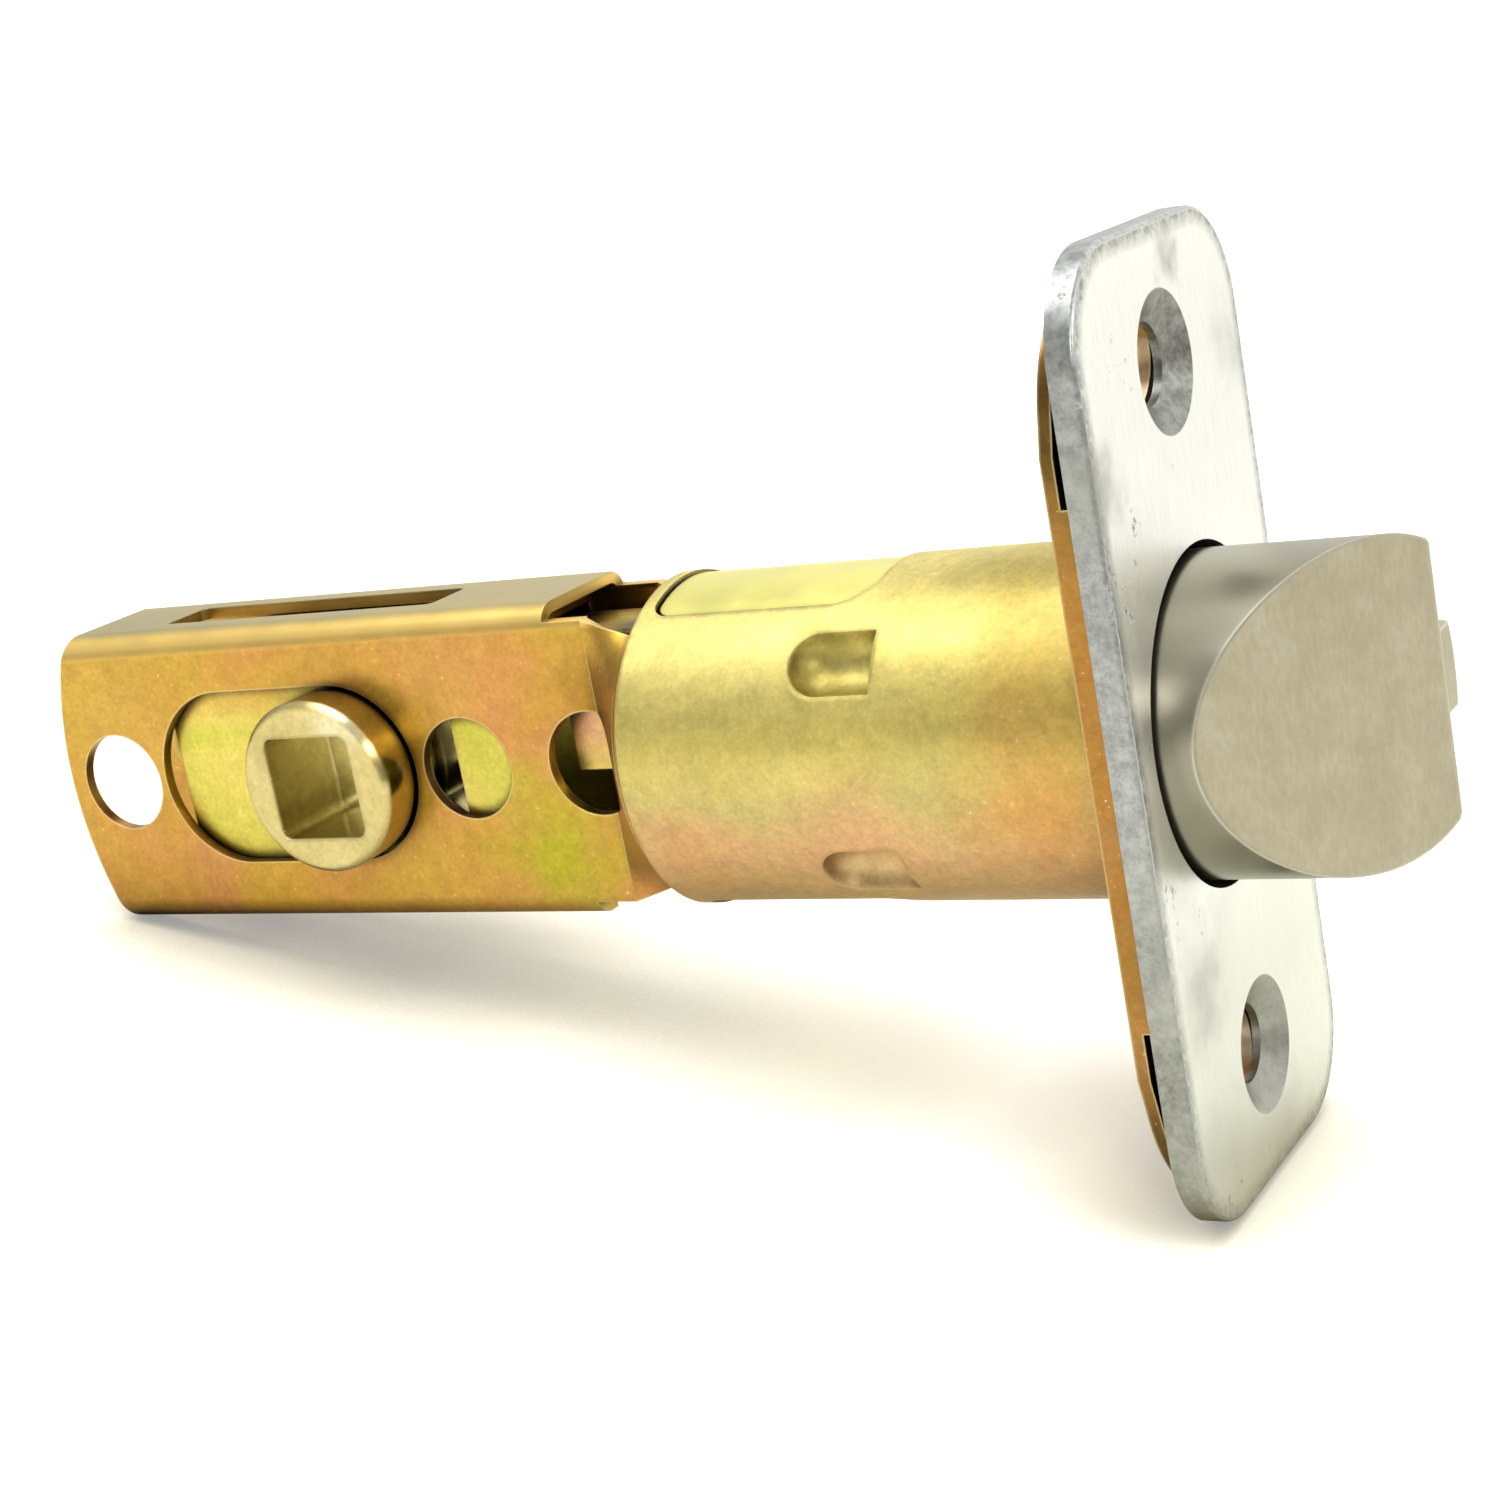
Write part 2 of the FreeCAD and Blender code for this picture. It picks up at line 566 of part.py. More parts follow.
lance_places = [S.lance_angle, -S.lance_angle, 180 - S.lance_angle, S.lance_angle - 180]
cups = [scoop(f"lance_cup_{n}", S.tube_wall * 0.9, angle)
        for n, angle in enumerate(lance_places)]
dents = [scoop(f"lance_dent_{n}", 0, angle) for n, angle in enumerate(lance_places)]
inside = cylinder("lance_inside", S.tube_radius, -S.tube_rear, -S.lance_edge)
cups_inside = common("lance_cups", [fuse("lance_cups_all", cups), inside])
behind = cylinder("lance_behind", 2 * S.tube_radius, -S.tube_rear, -S.lance_edge)
dents_behind = common("lance_dents", [fuse("lance_dents_all", dents), behind])
tube = cut("tube", fuse("tube_with_cups", [tube_blank, cups_inside]), [dents_behind])

# Frame: one folded sheet, a box with a slit below, whose sides flare into a sleeve inside the tube

frame_blank = new_body("frame_blank")
sketch = new_sketch(frame_blank, "YZ_Plane", "frame_section", -S.frame_crease)
add_rectangle(sketch, (-S.frame_half, -S.frame_top), (S.frame_half, S.frame_top), S.frame_bend)
inner_half = S.frame_half - S.frame_sheet
inner_top = S.frame_top - S.frame_sheet
add_rectangle(sketch, (-inner_half, -inner_top), (inner_half, inner_top), S.frame_bend - S.frame_sheet)
pad(frame_blank, sketch, S.frame_tail - S.frame_crease, back=True)
sketch = new_sketch(frame_blank, "XY_Plane", "frame_slit_below")
add_rectangle(sketch, (-EVERYWHERE * 2, -S.frame_slit), (0, S.frame_slit))
pocket(frame_blank, sketch)
sketch = new_sketch(frame_blank, "XY_Plane", "frame_web_window")
add_rectangle(sketch, (-S.web_window_rear, -S.web_window_half),
              (-S.web_window_front, S.web_window_half), 0.6)
pocket(frame_blank, sketch, back=True)
sketch = new_sketch(frame_blank, "XZ_Plane", "frame_web_front")
add_rectangle(sketch, (-S.web_front, S.cheek_top), (0, EVERYWHERE))
add_rectangle(sketch, (-S.web_front, -EVERYWHERE), (0, -S.cheek_top))
pocket(frame_blank, sketch, midplane=True)
sketch = new_sketch(frame_blank, "XZ_Plane", "frame_tail_edge")
tail_height = S.frame_top + 1
tail_drop = S.tail_radius - root(S.tail_radius * S.tail_radius - tail_height * tail_height)
tail_corner = -S.frame_tail + tail_drop
add_outline(sketch, [(-EVERYWHERE * 2, -tail_height), (tail_corner, -tail_height),
                     (tail_corner, tail_height), (-EVERYWHERE * 2, tail_height)],
            {1: -S.tail_radius})
pocket(frame_blank, sketch, midplane=True)
sketch = new_sketch(frame_blank, "XZ_Plane", "frame_side_holes")
slot_half = S.hub_radius + S.window_play
slot_front = -S.backset
slot_rear = -(S.backset + S.backset_change)
add_outline(sketch, [(slot_rear, -slot_half), (slot_front, -slot_half),
                     (slot_front, slot_half), (slot_rear, slot_half)],
            {1: slot_half, 3: slot_half})
add_circle(sketch, -S.post_rear, 0, S.post_radius)
add_circle(sketch, -S.post_middle, 0, S.post_radius)
pocket(frame_blank, sketch, midplane=True)

sleeve_outer = tube_bore - S.sleeve_gap
sleeve_inner = sleeve_outer - S.frame_sheet


def flare(side):
    """One side's change from a flat strip to a round strip, as a ruled loft."""
    flat = doc.addObject("Sketcher::SketchObject", f"flare_flat_{side}")
    place(flat, -S.frame_crease, 0, 0, turn=Rotation(Vector(1, 1, 1), 120))
    sign = -1 if side == "near" else 1
    add_outline(flat, [(sign * S.frame_half, -S.cheek_top), (sign * inner_half, -S.cheek_top),
                       (sign * inner_half, S.cheek_top), (sign * S.frame_half, S.cheek_top)])
    curved = doc.addObject("Sketcher::SketchObject", f"flare_round_{side}")
    place(curved, -S.flare_front, 0, 0, turn=Rotation(Vector(1, 1, 1), 120))
    across = sign * cosine(S.sleeve_angle)
    up = sine(S.sleeve_angle)
    add_outline(curved, [(sleeve_outer * across, -sleeve_outer * up),
                         (sleeve_inner * across, -sleeve_inner * up),
                         (sleeve_inner * across, sleeve_inner * up),
                         (sleeve_outer * across, sleeve_outer * up)],
                {1: sign * sleeve_inner, 3: -sign * sleeve_outer})
    loft = doc.addObject("Part::Loft", f"flare_{side}")
    loft.Sections = [flat, curved]
    loft.Solid = True
    loft.Ruled = True
    return loft


def ring(name, inner, outer, rear, front):
    return cut(name, cylinder(name + "_outside", outer, -rear, -front),
               [cylinder(name + "_inside", inner, -rear - 1, -front + 1)])


def sector(name, inner, outer, rear, front, middle, half_angle):
    """Part of a ring around the bolt's axis, from a ring cut by an angle."""
    wedge = doc.addObject("Part::Cylinder", name + "_outside")
    bind(wedge, "Radius", outer)
    bind(wedge, "Height", rear - front)
    bind(wedge, "Angle", 2 * half_angle)
    place(wedge, -rear, 0, 0)
    turn = f"create(<<rotation>>; create(<<vector>>; 1; 0; 0); {Size.of(middle - half_angle).text})"
    wedge.setExpression("Placement.Rotation",
                        turn + " * create(<<rotation>>; create(<<vector>>; 1; 1; 1); 120)")
    return cut(name, wedge, [cylinder(name + "_inside", inner, -rear - 1, -front + 1)])


sleeve_parts = [flare("near"), flare("far")]
for name, middle in (("far", Size.of(0)), ("near", Size.of(180))):
    sleeve_parts.append(sector(f"sleeve_{name}", sleeve_inner, sleeve_outer,
                               S.flare_front, S.sleeve_front, middle, S.sleeve_angle))
sleeve_parts.append(ring("sleeve_ring", sleeve_inner, sleeve_outer, S.sleeve_rear, S.sleeve_front))
tongue_outline = new_body("tongue_outline")
sketch = new_sketch(tongue_outline, "XY_Plane", "tongue_edge")
tongue_side = S.window_half - S.tongue_gap
add_rectangle(sketch, (-S.window_rear + S.tongue_gap, -tongue_side),
              (-S.window_front - S.tongue_gap, tongue_side),
              S.window_corner - S.tongue_gap, S.window_round - S.tongue_gap)
pad(tongue_outline, sketch, 4 * S.tube_radius, midplane=True)
sleeve_parts.append(common("tongues", [tongue_outline,
                    ring("tongue_ring", sleeve_inner, S.tube_radius - S.tongue_sink,
                         S.window_rear, S.window_front)]))
frame_whole = fuse("frame_whole", [frame_blank] + sleeve_parts)
frame = cut("frame", frame_whole,
            [cylinder("frame_front_holes", S.post_radius, -2 * S.tube_radius, 2 * S.tube_radius, "y",
                      (-S.post_front, 0))])

# Guide box: a folded strip that fills the frame behind the tube and guides the yoke

guide_box = new_body("guide_box")
sketch = new_sketch(guide_box, "YZ_Plane", "guide_section", -S.guide_front)
add_rectangle(sketch, (-inner_half, -S.guide_top), (inner_half, S.guide_top), 0.6)
add_rectangle(sketch, (-inner_half + S.carrier_sheet, -S.guide_top + S.carrier_sheet),
              (inner_half - S.carrier_sheet, S.guide_top - S.carrier_sheet))
pad(guide_box, sketch, S.guide_rear - S.guide_front, back=True)

# Spring seat: a pressed disc behind both springs, with a collar, the rod's hole and two slots

seat_rear = S.seat_front + S.seat_thickness
spring_seat = new_body("spring_seat")
sketch = new_sketch(spring_seat, "XZ_Plane", "seat_profile")
hole = S.rod_radius + S.seat_play
add_outline(sketch, [(-seat_rear, hole), (-S.seat_front + S.collar_height, hole),
                     (-S.seat_front + S.collar_height, S.seat_collar), (-S.seat_front, S.seat_collar),
                     (-S.seat_front, S.seat_radius), (-seat_rear, S.seat_radius)])
turned = spring_seat.newObject("PartDesign::Revolution", "seat_turned")
turned.Profile = sketch
turned.ReferenceAxis = (sketch, ["H_Axis"])
turned.Angle = 360
sketch = new_sketch(spring_seat, "YZ_Plane", "seat_slots")
slot_low = S.yoke_top - S.yoke_sheet - S.seat_play
slot_side = S.yoke_half + S.seat_play
add_rectangle(sketch, (-slot_side, slot_low), (slot_side, EVERYWHERE))
add_rectangle(sketch, (-slot_side, -EVERYWHERE), (slot_side, -slot_low))
pocket(spring_seat, sketch)

# Bolt: turned, with a curved bevel on the near side, a flat back and the plunger's channel

latch_bolt = new_body("latch_bolt")
sketch = new_sketch(latch_bolt, "XZ_Plane", "bolt_profile")
add_outline(sketch, [(-S.bolt_rear, S.pocket_radius), (-S.pocket_floor, S.pocket_radius),
                     (-S.pocket_floor, 0), (S.bolt_throw, 0), (S.bolt_throw, S.bolt_radius),
                     (-S.bolt_shoulder, S.bolt_radius), (-S.bolt_shoulder, S.bolt_neck),
                     (-S.bolt_rear, S.bolt_neck)])
turned = latch_bolt.newObject("PartDesign::Revolution", "bolt_turned")
turned.Profile = sketch
turned.ReferenceAxis = (sketch, ["H_Axis"])
turned.Angle = 360
sketch = new_sketch(latch_bolt, "XY_Plane", "bolt_bevel")
add_outline(sketch, [(S.bevel_start, -S.bolt_radius), (S.bevel_start, -EVERYWHERE),
                     (S.bolt_throw + 1, -EVERYWHERE), (S.bolt_throw + 1, S.bevel_tip),
                     (S.bolt_throw, S.bevel_tip)], {4: -S.bevel_radius})
pocket(latch_bolt, sketch, midplane=True)
sketch = new_sketch(latch_bolt, "XY_Plane", "bolt_back")
add_rectangle(sketch, (-S.flat_start, S.bolt_flat), (S.bolt_throw + 1, EVERYWHERE))
pocket(latch_bolt, sketch, midplane=True)
sketch = new_sketch(latch_bolt, "YZ_Plane", "bolt_channel")
add_rectangle(sketch, (S.bolt_flat, -S.channel_half), (EVERYWHERE, S.channel_half))
channelled = pocket(latch_bolt, sketch)
round_edges(latch_bolt, channelled, "bolt_tip", S.bolt_nose,
            lambda edge: edge.BoundBox.XMin > S.bolt_throw.number - 1e-6
            and edge.CenterOfMass.y < S.bevel_tip.number + 1e-6)

# Bolt's rod, riveted in the bolt, and the cross pin that the yoke pulls

rod_blank = cylinder("rod_blank", S.rod_radius, -S.rod_rear, -S.pocket_floor)
bolt_rod = cut("bolt_rod", rod_blank,
               [cylinder("rod_cross_hole", S.rod_pin_radius, -S.rod_pin_half, S.rod_pin_half,
                         "z", (-S.rod_pin_back, 0))])
rod_pin = cylinder("rod_pin", S.rod_pin_radius, -S.rod_pin_half, S.rod_pin_half,
                   "z", (-S.rod_pin_back, 0))


def coil_spring(name, mean, wire, turns, rear, front, height):
    """Round wire wound around an axis along X at the given height towards +Y."""
    body = new_body(name)
    sketch = new_sketch(body, "XY_Plane", name + "_wire")
    add_circle(sketch, -rear + wire, height + mean, wire)
    axis = body.newObject("PartDesign::Line", name + "_axis")
    place(axis, 0, height, 0, turn=TURNS["x"])
    doc.recompute()
    coil = body.newObject("PartDesign::AdditiveHelix", name + "_coil")
    coil.Profile = sketch
    coil.ReferenceAxis = (axis, [""])
    coil.Mode = 0
    travel = rear - front - 2 * wire
    bind(coil, "Pitch", travel / turns)
    bind(coil, "Height", travel)
    return body


bolt_spring = coil_spring("bolt_spring", S.spring_radius, S.spring_wire, S.spring_turns,
                          S.seat_front - S.spring_seat_gap, S.pocket_floor + S.spring_seat_gap,
                          Size.of(0))

# Deadlocking plunger: a bar with a round back in the bolt's channel, its stem and its spring

plunger_blank = common("plunger_blank", [
    box("plunger_bar", (-S.plunger_rear, S.plunger_tip), (S.plunger_floor, S.plunger_radius + 1),
        (-S.plunger_half, S.plunger_half)),
    cylinder("plunger_back", S.plunger_radius, -S.plunger_rear, S.plunger_tip)])
doc.recompute()
plunger = doc.addObject("Part::Fillet", "plunger")
plunger.Base = plunger_blank
plunger.Edges = [(n, S.plunger_nose.number, S.plunger_nose.number)
                 for n, edge in enumerate(plunger_blank.Shape.Edges, start=1)
                 if edge.BoundBox.XMin > S.plunger_tip.number - 1e-6
                 and edge.CenterOfMass.y > S.plunger_floor.number + 1e-6
                 and edge.BoundBox.ZLength > 1]
plunger_stem = cylinder("plunger_stem", S.stem_radius, -S.stem_rear, -S.plunger_rear,
                        "x", (S.stem_height, 0))
plunger_spring = coil_spring("plunger_spring", S.coil_radius, S.coil_wire, S.coil_turns,
                             S.seat_front - S.spring_seat_gap, S.plunger_rear + S.spring_seat_gap,
                             S.stem_height)

# Carriage: two plates held apart by spacer rivets; the hub turns in them


def carrier(name, side):
    body = new_body(name)
    face = S.carrier_inner if side > 0 else S.carrier_inner + S.carrier_sheet
    sketch = new_sketch(body, "XZ_Plane", name + "_plate", -side * face)
    add_rectangle(sketch, (-S.carrier_rear, -S.carrier_top), (-S.carrier_front, S.carrier_top),
                  S.carrier_corner, S.carrier_nose)
    add_circle(sketch, -S.backset, 0, S.hub_neck + S.hub_play)
    for sign in (1, -1):
        add_circle(sketch, -S.rivet_back, sign * S.rivet_height, S.rivet_neck)
    pad(body, sketch, S.carrier_sheet, back=True)
    return body


carrier_near = carrier("carrier_near", -1)
carrier_far = carrier("carrier_far", 1)
rivets = []
for place_name, sign in (("upper", 1), ("lower", -1)):
    centre = (-S.rivet_back, sign * S.rivet_height)
    end = S.carrier_inner + S.carrier_sheet
    rivets.append(fuse(f"rivet_{place_name}", [
        cylinder(f"rivet_{place_name}_body", S.rivet_radius, -S.carrier_inner, S.carrier_inner,
                 "y", centre),
        cylinder(f"rivet_{place_name}_neck", S.rivet_neck, -end, end, "y", centre)]))
carrier_rivets = fuse("carrier_rivets", rivets)

# Hub: two bushings with a cam plate between them, all on the same square hole


def bushing(name, side_of):
    body = new_body(name)
    for part, radius, start, end in (("neck", S.hub_neck, S.cam_half, S.hub_shoulder),
                                     ("boss", S.hub_radius, S.hub_shoulder, S.hub_half)):
        sketch = new_sketch(body, "XZ_Plane", f"{name}_{part}", -side_of * start)
        add_circle(sketch, -S.backset, 0, radius)
        pad(body, sketch, end - start, back=side_of > 0)
    sketch = new_sketch(body, "XZ_Plane", name + "_square")
    side = S.spindle_side / 2
    add_rectangle(sketch, (-S.backset - side, -side), (-S.backset + side, side), S.spindle_corner)
    squared = pocket(body, sketch, midplane=True)
    outer = side_of * S.hub_half.number
    round_edges(body, squared, name + "_edge", S.hub_edge,
                lambda edge: abs(edge.CenterOfMass.y - outer) < 1e-6
                and edge.BoundBox.XLength > 2 * S.hub_radius.number - 0.1, "Chamfer")
    return body


hub_near = bushing("hub_near", -1)
hub_far = bushing("hub_far", 1)


def finger(name, angle):
    """A round-ended bar from the hub's axis outwards."""
    bar = box(name + "_bar", (0, S.finger_reach), (-S.cam_half, S.cam_half),
              (-S.finger_half, S.finger_half))
    tip = cylinder(name + "_tip", S.finger_half, -S.cam_half, S.cam_half, "y",
                   (S.finger_reach, 0))
    whole = fuse(name, [bar, tip])
    place(whole, -S.backset, 0, 0)
    whole.setExpression("Placement.Rotation",
                        f"create(<<rotation>>; create(<<vector>>; 0; -1; 0); {angle.text})")
    return whole


side = S.spindle_side / 2
cam_hole = new_body("cam_hole")
sketch = new_sketch(cam_hole, "XZ_Plane", "cam_square")
add_rectangle(sketch, (-S.backset - side, -side), (-S.backset + side, side), S.spindle_corner)
pad(cam_hole, sketch, 4 * S.cam_half, midplane=True)
hub_cam = cut("hub_cam", fuse("cam_blank", [
    cylinder("cam_disc", S.hub_radius, -S.cam_half, S.cam_half, "y", (-S.backset, 0)),
    finger("finger_upper", S.finger_angle), finger("finger_lower", -S.finger_angle)]), [cam_hole])

# Yoke: a folded sheet with rear arms beside the cam, side straps and slotted front arms

yoke_low = S.yoke_top - S.yoke_sheet
yoke_inner = S.yoke_half - S.yoke_side
slot_end = S.rod_pin_radius + S.slot_play
yoke = new_body("yoke")
sketch = new_sketch(yoke, "YZ_Plane", "yoke_section", -S.yoke_front)
add_rectangle(sketch, (-S.yoke_half, -S.yoke_top), (S.yoke_half, S.yoke_top), 0.5)
add_rectangle(sketch, (-yoke_inner, -yoke_low), (yoke_inner, yoke_low))
pad(yoke, sketch, S.yoke_rear - S.yoke_front, back=True)
sketch = new_sketch(yoke, "XZ_Plane", "yoke_side_cuts")
add_rectangle(sketch, (-EVERYWHERE * 2, -S.yoke_arm), (-S.strap_rear, S.yoke_arm))
add_rectangle(sketch, (-S.strap_front, -yoke_low), (0, yoke_low))
for sign in (1, -1):
    add_circle(sketch, -S.backset + S.yoke_pin_lead, sign * S.yoke_pin_height, S.yoke_pin_radius)
pocket(yoke, sketch, midplane=True)
sketch = new_sketch(yoke, "XZ_Plane", "yoke_near_strap")
add_rectangle(sketch, (-S.strap_rear - 1, -yoke_low), (-S.strap_front + 1, -S.strap_foot))
pocket(yoke, sketch, EVERYWHERE, back=True)
sketch = new_sketch(yoke, "XY_Plane", "yoke_top_cuts")
add_rectangle(sketch, (-EVERYWHERE * 2, -yoke_inner), (-S.strap_rear, yoke_inner))
slot_rear_end = -S.rod_pin_back
slot_front_end = -S.rod_pin_back + S.backset_change
add_outline(sketch, [(slot_rear_end, -slot_end), (slot_front_end, -slot_end),
                     (slot_front_end, slot_end), (slot_rear_end, slot_end)],
            {1: slot_end, 3: slot_end})
pocket(yoke, sketch, midplane=True)
yoke_pins = fuse("yoke_pins", [
    cylinder(f"yoke_pin_{name}", S.yoke_pin_radius, -S.yoke_half, S.yoke_half, "y",
             (-S.backset + S.yoke_pin_lead, sign * S.yoke_pin_height))
    for name, sign in (("upper", 1), ("lower", -1))])

# Check every object, then write one file for each piece

doc.recompute()
failed = [thing.Label for thing in doc.Objects
          if "Invalid" in thing.State or "Error" in thing.State]
if failed:
    raise RuntimeError(f"these objects failed: {failed}")

pieces = [faceplate, backplate, tube, frame, guide_box, spring_seat, latch_bolt, bolt_rod, rod_pin,
          bolt_spring, plunger, plunger_stem, plunger_spring, carrier_near, carrier_far,
          carrier_rivets, hub_near, hub_cam, hub_far, yoke, yoke_pins]
os.makedirs("parts", exist_ok=True)
for piece in pieces:
    shape = piece.Shape
    if shape.isNull() or not shape.isValid():
        raise RuntimeError(f"{piece.Label} has no valid shape")
    bounds = shape.BoundBox
    print(f"{piece.Label:16s} solids {len(shape.Solids)} volume {shape.Volume:9.2f} "
          f"x {bounds.XMin:7.2f} {bounds.XMax:7.2f} y {bounds.YMin:7.2f} {bounds.YMax:7.2f} "
          f"z {bounds.ZMin:7.2f} {bounds.ZMax:7.2f}")
    shape.exportStep(f"parts/{piece.Label}.step")
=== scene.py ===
import json
import math

import bmesh
import bpy
import numpy as np
from mathutils import Matrix, Vector


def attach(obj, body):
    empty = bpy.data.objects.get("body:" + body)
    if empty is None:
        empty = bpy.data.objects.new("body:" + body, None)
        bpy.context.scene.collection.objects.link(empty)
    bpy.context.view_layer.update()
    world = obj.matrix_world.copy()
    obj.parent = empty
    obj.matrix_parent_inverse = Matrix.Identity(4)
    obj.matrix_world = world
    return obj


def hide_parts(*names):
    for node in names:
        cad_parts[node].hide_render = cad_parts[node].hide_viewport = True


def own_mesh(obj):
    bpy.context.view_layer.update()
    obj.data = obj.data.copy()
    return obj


# %% [markdown]
# A tubular door latch lies on a pale table: a plated faceplate with a bevelled bolt, and
# behind it a tube and a folded frame in yellow zinc. Every piece is rigid metal, so its
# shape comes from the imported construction. Blender adds the finish of each surface, the
# wound springs, the light and the camera.

# %% Load the construction
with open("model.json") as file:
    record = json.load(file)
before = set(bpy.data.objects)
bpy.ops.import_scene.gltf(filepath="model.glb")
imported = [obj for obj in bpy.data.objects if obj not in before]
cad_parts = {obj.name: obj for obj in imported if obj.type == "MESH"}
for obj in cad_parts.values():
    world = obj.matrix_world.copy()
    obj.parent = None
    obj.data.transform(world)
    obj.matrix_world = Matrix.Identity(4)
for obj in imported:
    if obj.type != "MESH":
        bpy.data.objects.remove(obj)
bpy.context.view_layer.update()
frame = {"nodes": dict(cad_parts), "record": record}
MM = 0.001

# %% [markdown]
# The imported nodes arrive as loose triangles, and loose triangles can't be shaded as one
# smooth surface. The tube and the bolt would show flat facets in a reflection. A copy of
# each node gets its doubled points merged, its degenerate edges dissolved, and its normals
# smoothed below an angle, which keeps sheared sheet edges crisp.


# %% Smooth copies of the construction
def dress(node, body, angle=28):
    """Copies a node's mesh, merges its points, shades it smooth below the angle, and shows it."""
    source = frame["nodes"][node]
    mesh = source.data.copy()
    mesh.name = f"{node}_dressed"
    shell = bmesh.new()
    shell.from_mesh(mesh)
    bmesh.ops.remove_doubles(shell, verts=shell.verts, dist=0.002 * MM)
    bmesh.ops.dissolve_degenerate(shell, dist=0.001 * MM, edges=shell.edges)
    limit = math.radians(angle)
    for face in shell.faces:
        face.smooth = True
    for edge in shell.edges:
        edge.smooth = edge.is_manifold and edge.calc_face_angle(0) < limit
    shell.to_mesh(mesh)
    shell.free()
    if mesh.has_custom_normals:
        mesh.attributes.remove(mesh.attributes["custom_normal"])
    piece = bpy.data.objects.new(f"{node}_skin", mesh)
    bpy.context.collection.objects.link(piece)
    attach(piece, body)
    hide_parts(node)
    return piece


BODY_OF = {node: body for body, nodes in frame["record"]["behaviour"]["bodies"].items() for node in nodes}
SLOT_OF = {part["node"]: part["material_slot"] for part in frame["record"]["subparts"]}
WOUND = ("bolt_spring", "plunger_spring")
skins = {node: dress(node, BODY_OF[node]) for node in frame["nodes"] if node not in WOUND}
print("dressed:", len(skins), "nodes,", sum(len(s.data.polygons) for s in skins.values()), "faces")

# %% [markdown]
# Both springs are wound from drawn wire. The end turns of a compression spring are wound
# close, so that it stands flat on its seat, and the pitch opens between them. A tube swept
# along that path is a function of two parameters: one runs along the wire and one round it.
# Sizes are in millimetres: a wire's radius, the coil's mean radius, and where it ends on X.


# %% Wound springs
def wound_spring(name, start, end, height, mean, wire, turns, steps=28, sides=10):
    """Wire round a line along X: the end turns climb by a wire's width, the rest evenly."""
    count = int(turns * steps) + 1
    along = np.linspace(0, 1, count)
    closed = 1.6 / turns
    rise = np.clip((along - closed / 2) / (1 - closed), 0, 1)
    lead = 2 * wire * closed * turns / 2
    climb = (end - start) - 2 * wire - 2 * lead
    x = start + wire + lead * np.clip(along / (closed / 2), 0, 1) + climb * rise
    x = x + lead * np.clip((along - 1 + closed / 2) / (closed / 2), 0, 1)
    angle = 2 * np.pi * turns * along
    centre = np.stack([x, height + mean * np.cos(angle), mean * np.sin(angle)], axis=1)
    forward = np.gradient(centre, axis=0)
    forward /= np.linalg.norm(forward, axis=1, keepdims=True)
    outward = np.stack([np.zeros(count), np.cos(angle), np.sin(angle)], axis=1)
    outward -= forward * np.sum(outward * forward, axis=1, keepdims=True)
    outward /= np.linalg.norm(outward, axis=1, keepdims=True)
    sideways = np.cross(forward, outward)
    turn = np.linspace(0, 2 * np.pi, sides, endpoint=False)
    skin = (centre[:, None, :] + wire * (np.cos(turn)[None, :, None] * outward[:, None, :]
                                         + np.sin(turn)[None, :, None] * sideways[:, None, :]))
    points = np.concatenate([skin.reshape(-1, 3), centre[[0, -1]]]) * MM
    i, j = np.meshgrid(np.arange(count - 1), np.arange(sides), indexing="ij")
    k = (j + 1) % sides
    quads = np.stack([i * sides + j, i * sides + k, (i + 1) * sides + k, (i + 1) * sides + j], axis=-1)
    first, last = count * sides, count * sides + 1
    base = (count - 1) * sides
    caps = [[first, (a + 1) % sides, a] for a in range(sides)]
    caps += [[last, base + a, base + (a + 1) % sides] for a in range(sides)]
    mesh = bpy.data.meshes.new(name)
    mesh.from_pydata(points.tolist(), [], quads.reshape(-1, 4).tolist() + caps)
    mesh.polygons.foreach_set("use_smooth", [True] * len(mesh.polygons))
    piece = bpy.data.objects.new(name, mesh)
    bpy.context.collection.objects.link(piece)
    return piece


SEAT_X = -34.35
BOLT_POCKET_X = -4.05
PLUNGER_POCKET_X = -8.55
PLUNGER_Y = 7.2
bolt_coil = wound_spring("bolt_spring_wire", SEAT_X, BOLT_POCKET_X, 0.0, mean=3.9, wire=0.4, turns=12)
plunger_coil = wound_spring("plunger_spring_wire", SEAT_X, PLUNGER_POCKET_X, PLUNGER_Y,
                            mean=1.35, wire=0.22, turns=15)
for coil, node, joint, height, keep in ((bolt_coil, "bolt_spring", "bolt_slide", 0.0, 0.62),
                                        (plunger_coil, "plunger_spring", "plunger_slide", PLUNGER_Y, 0.6)):
    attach(coil, "case")
    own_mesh(coil)
    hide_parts(node)
    skins[node] = coil
print("wound springs:", [len(c.data.polygons) for c in (bolt_coil, plunger_coil)], "faces")

# %% [markdown]
# One helper adds every node of every material, and a few short ones on top of it take up
# the steps that repeat. A colour is written as the sRGB hex value that a paint chart gives,
# and turned to the linear values that the renderer works in.


# %% Colour and node helpers
def linear(code):
    """Turns an sRGB hex value to linear: each channel above a small limit is raised to 2.4."""
    channels = [int(code[i:i + 2], 16) / 255 for i in (1, 3, 5)]
    return (*[c / 12.92 if c <= 0.04045 else ((c + 0.055) / 1.055) ** 2.4 for c in channels], 1.0)


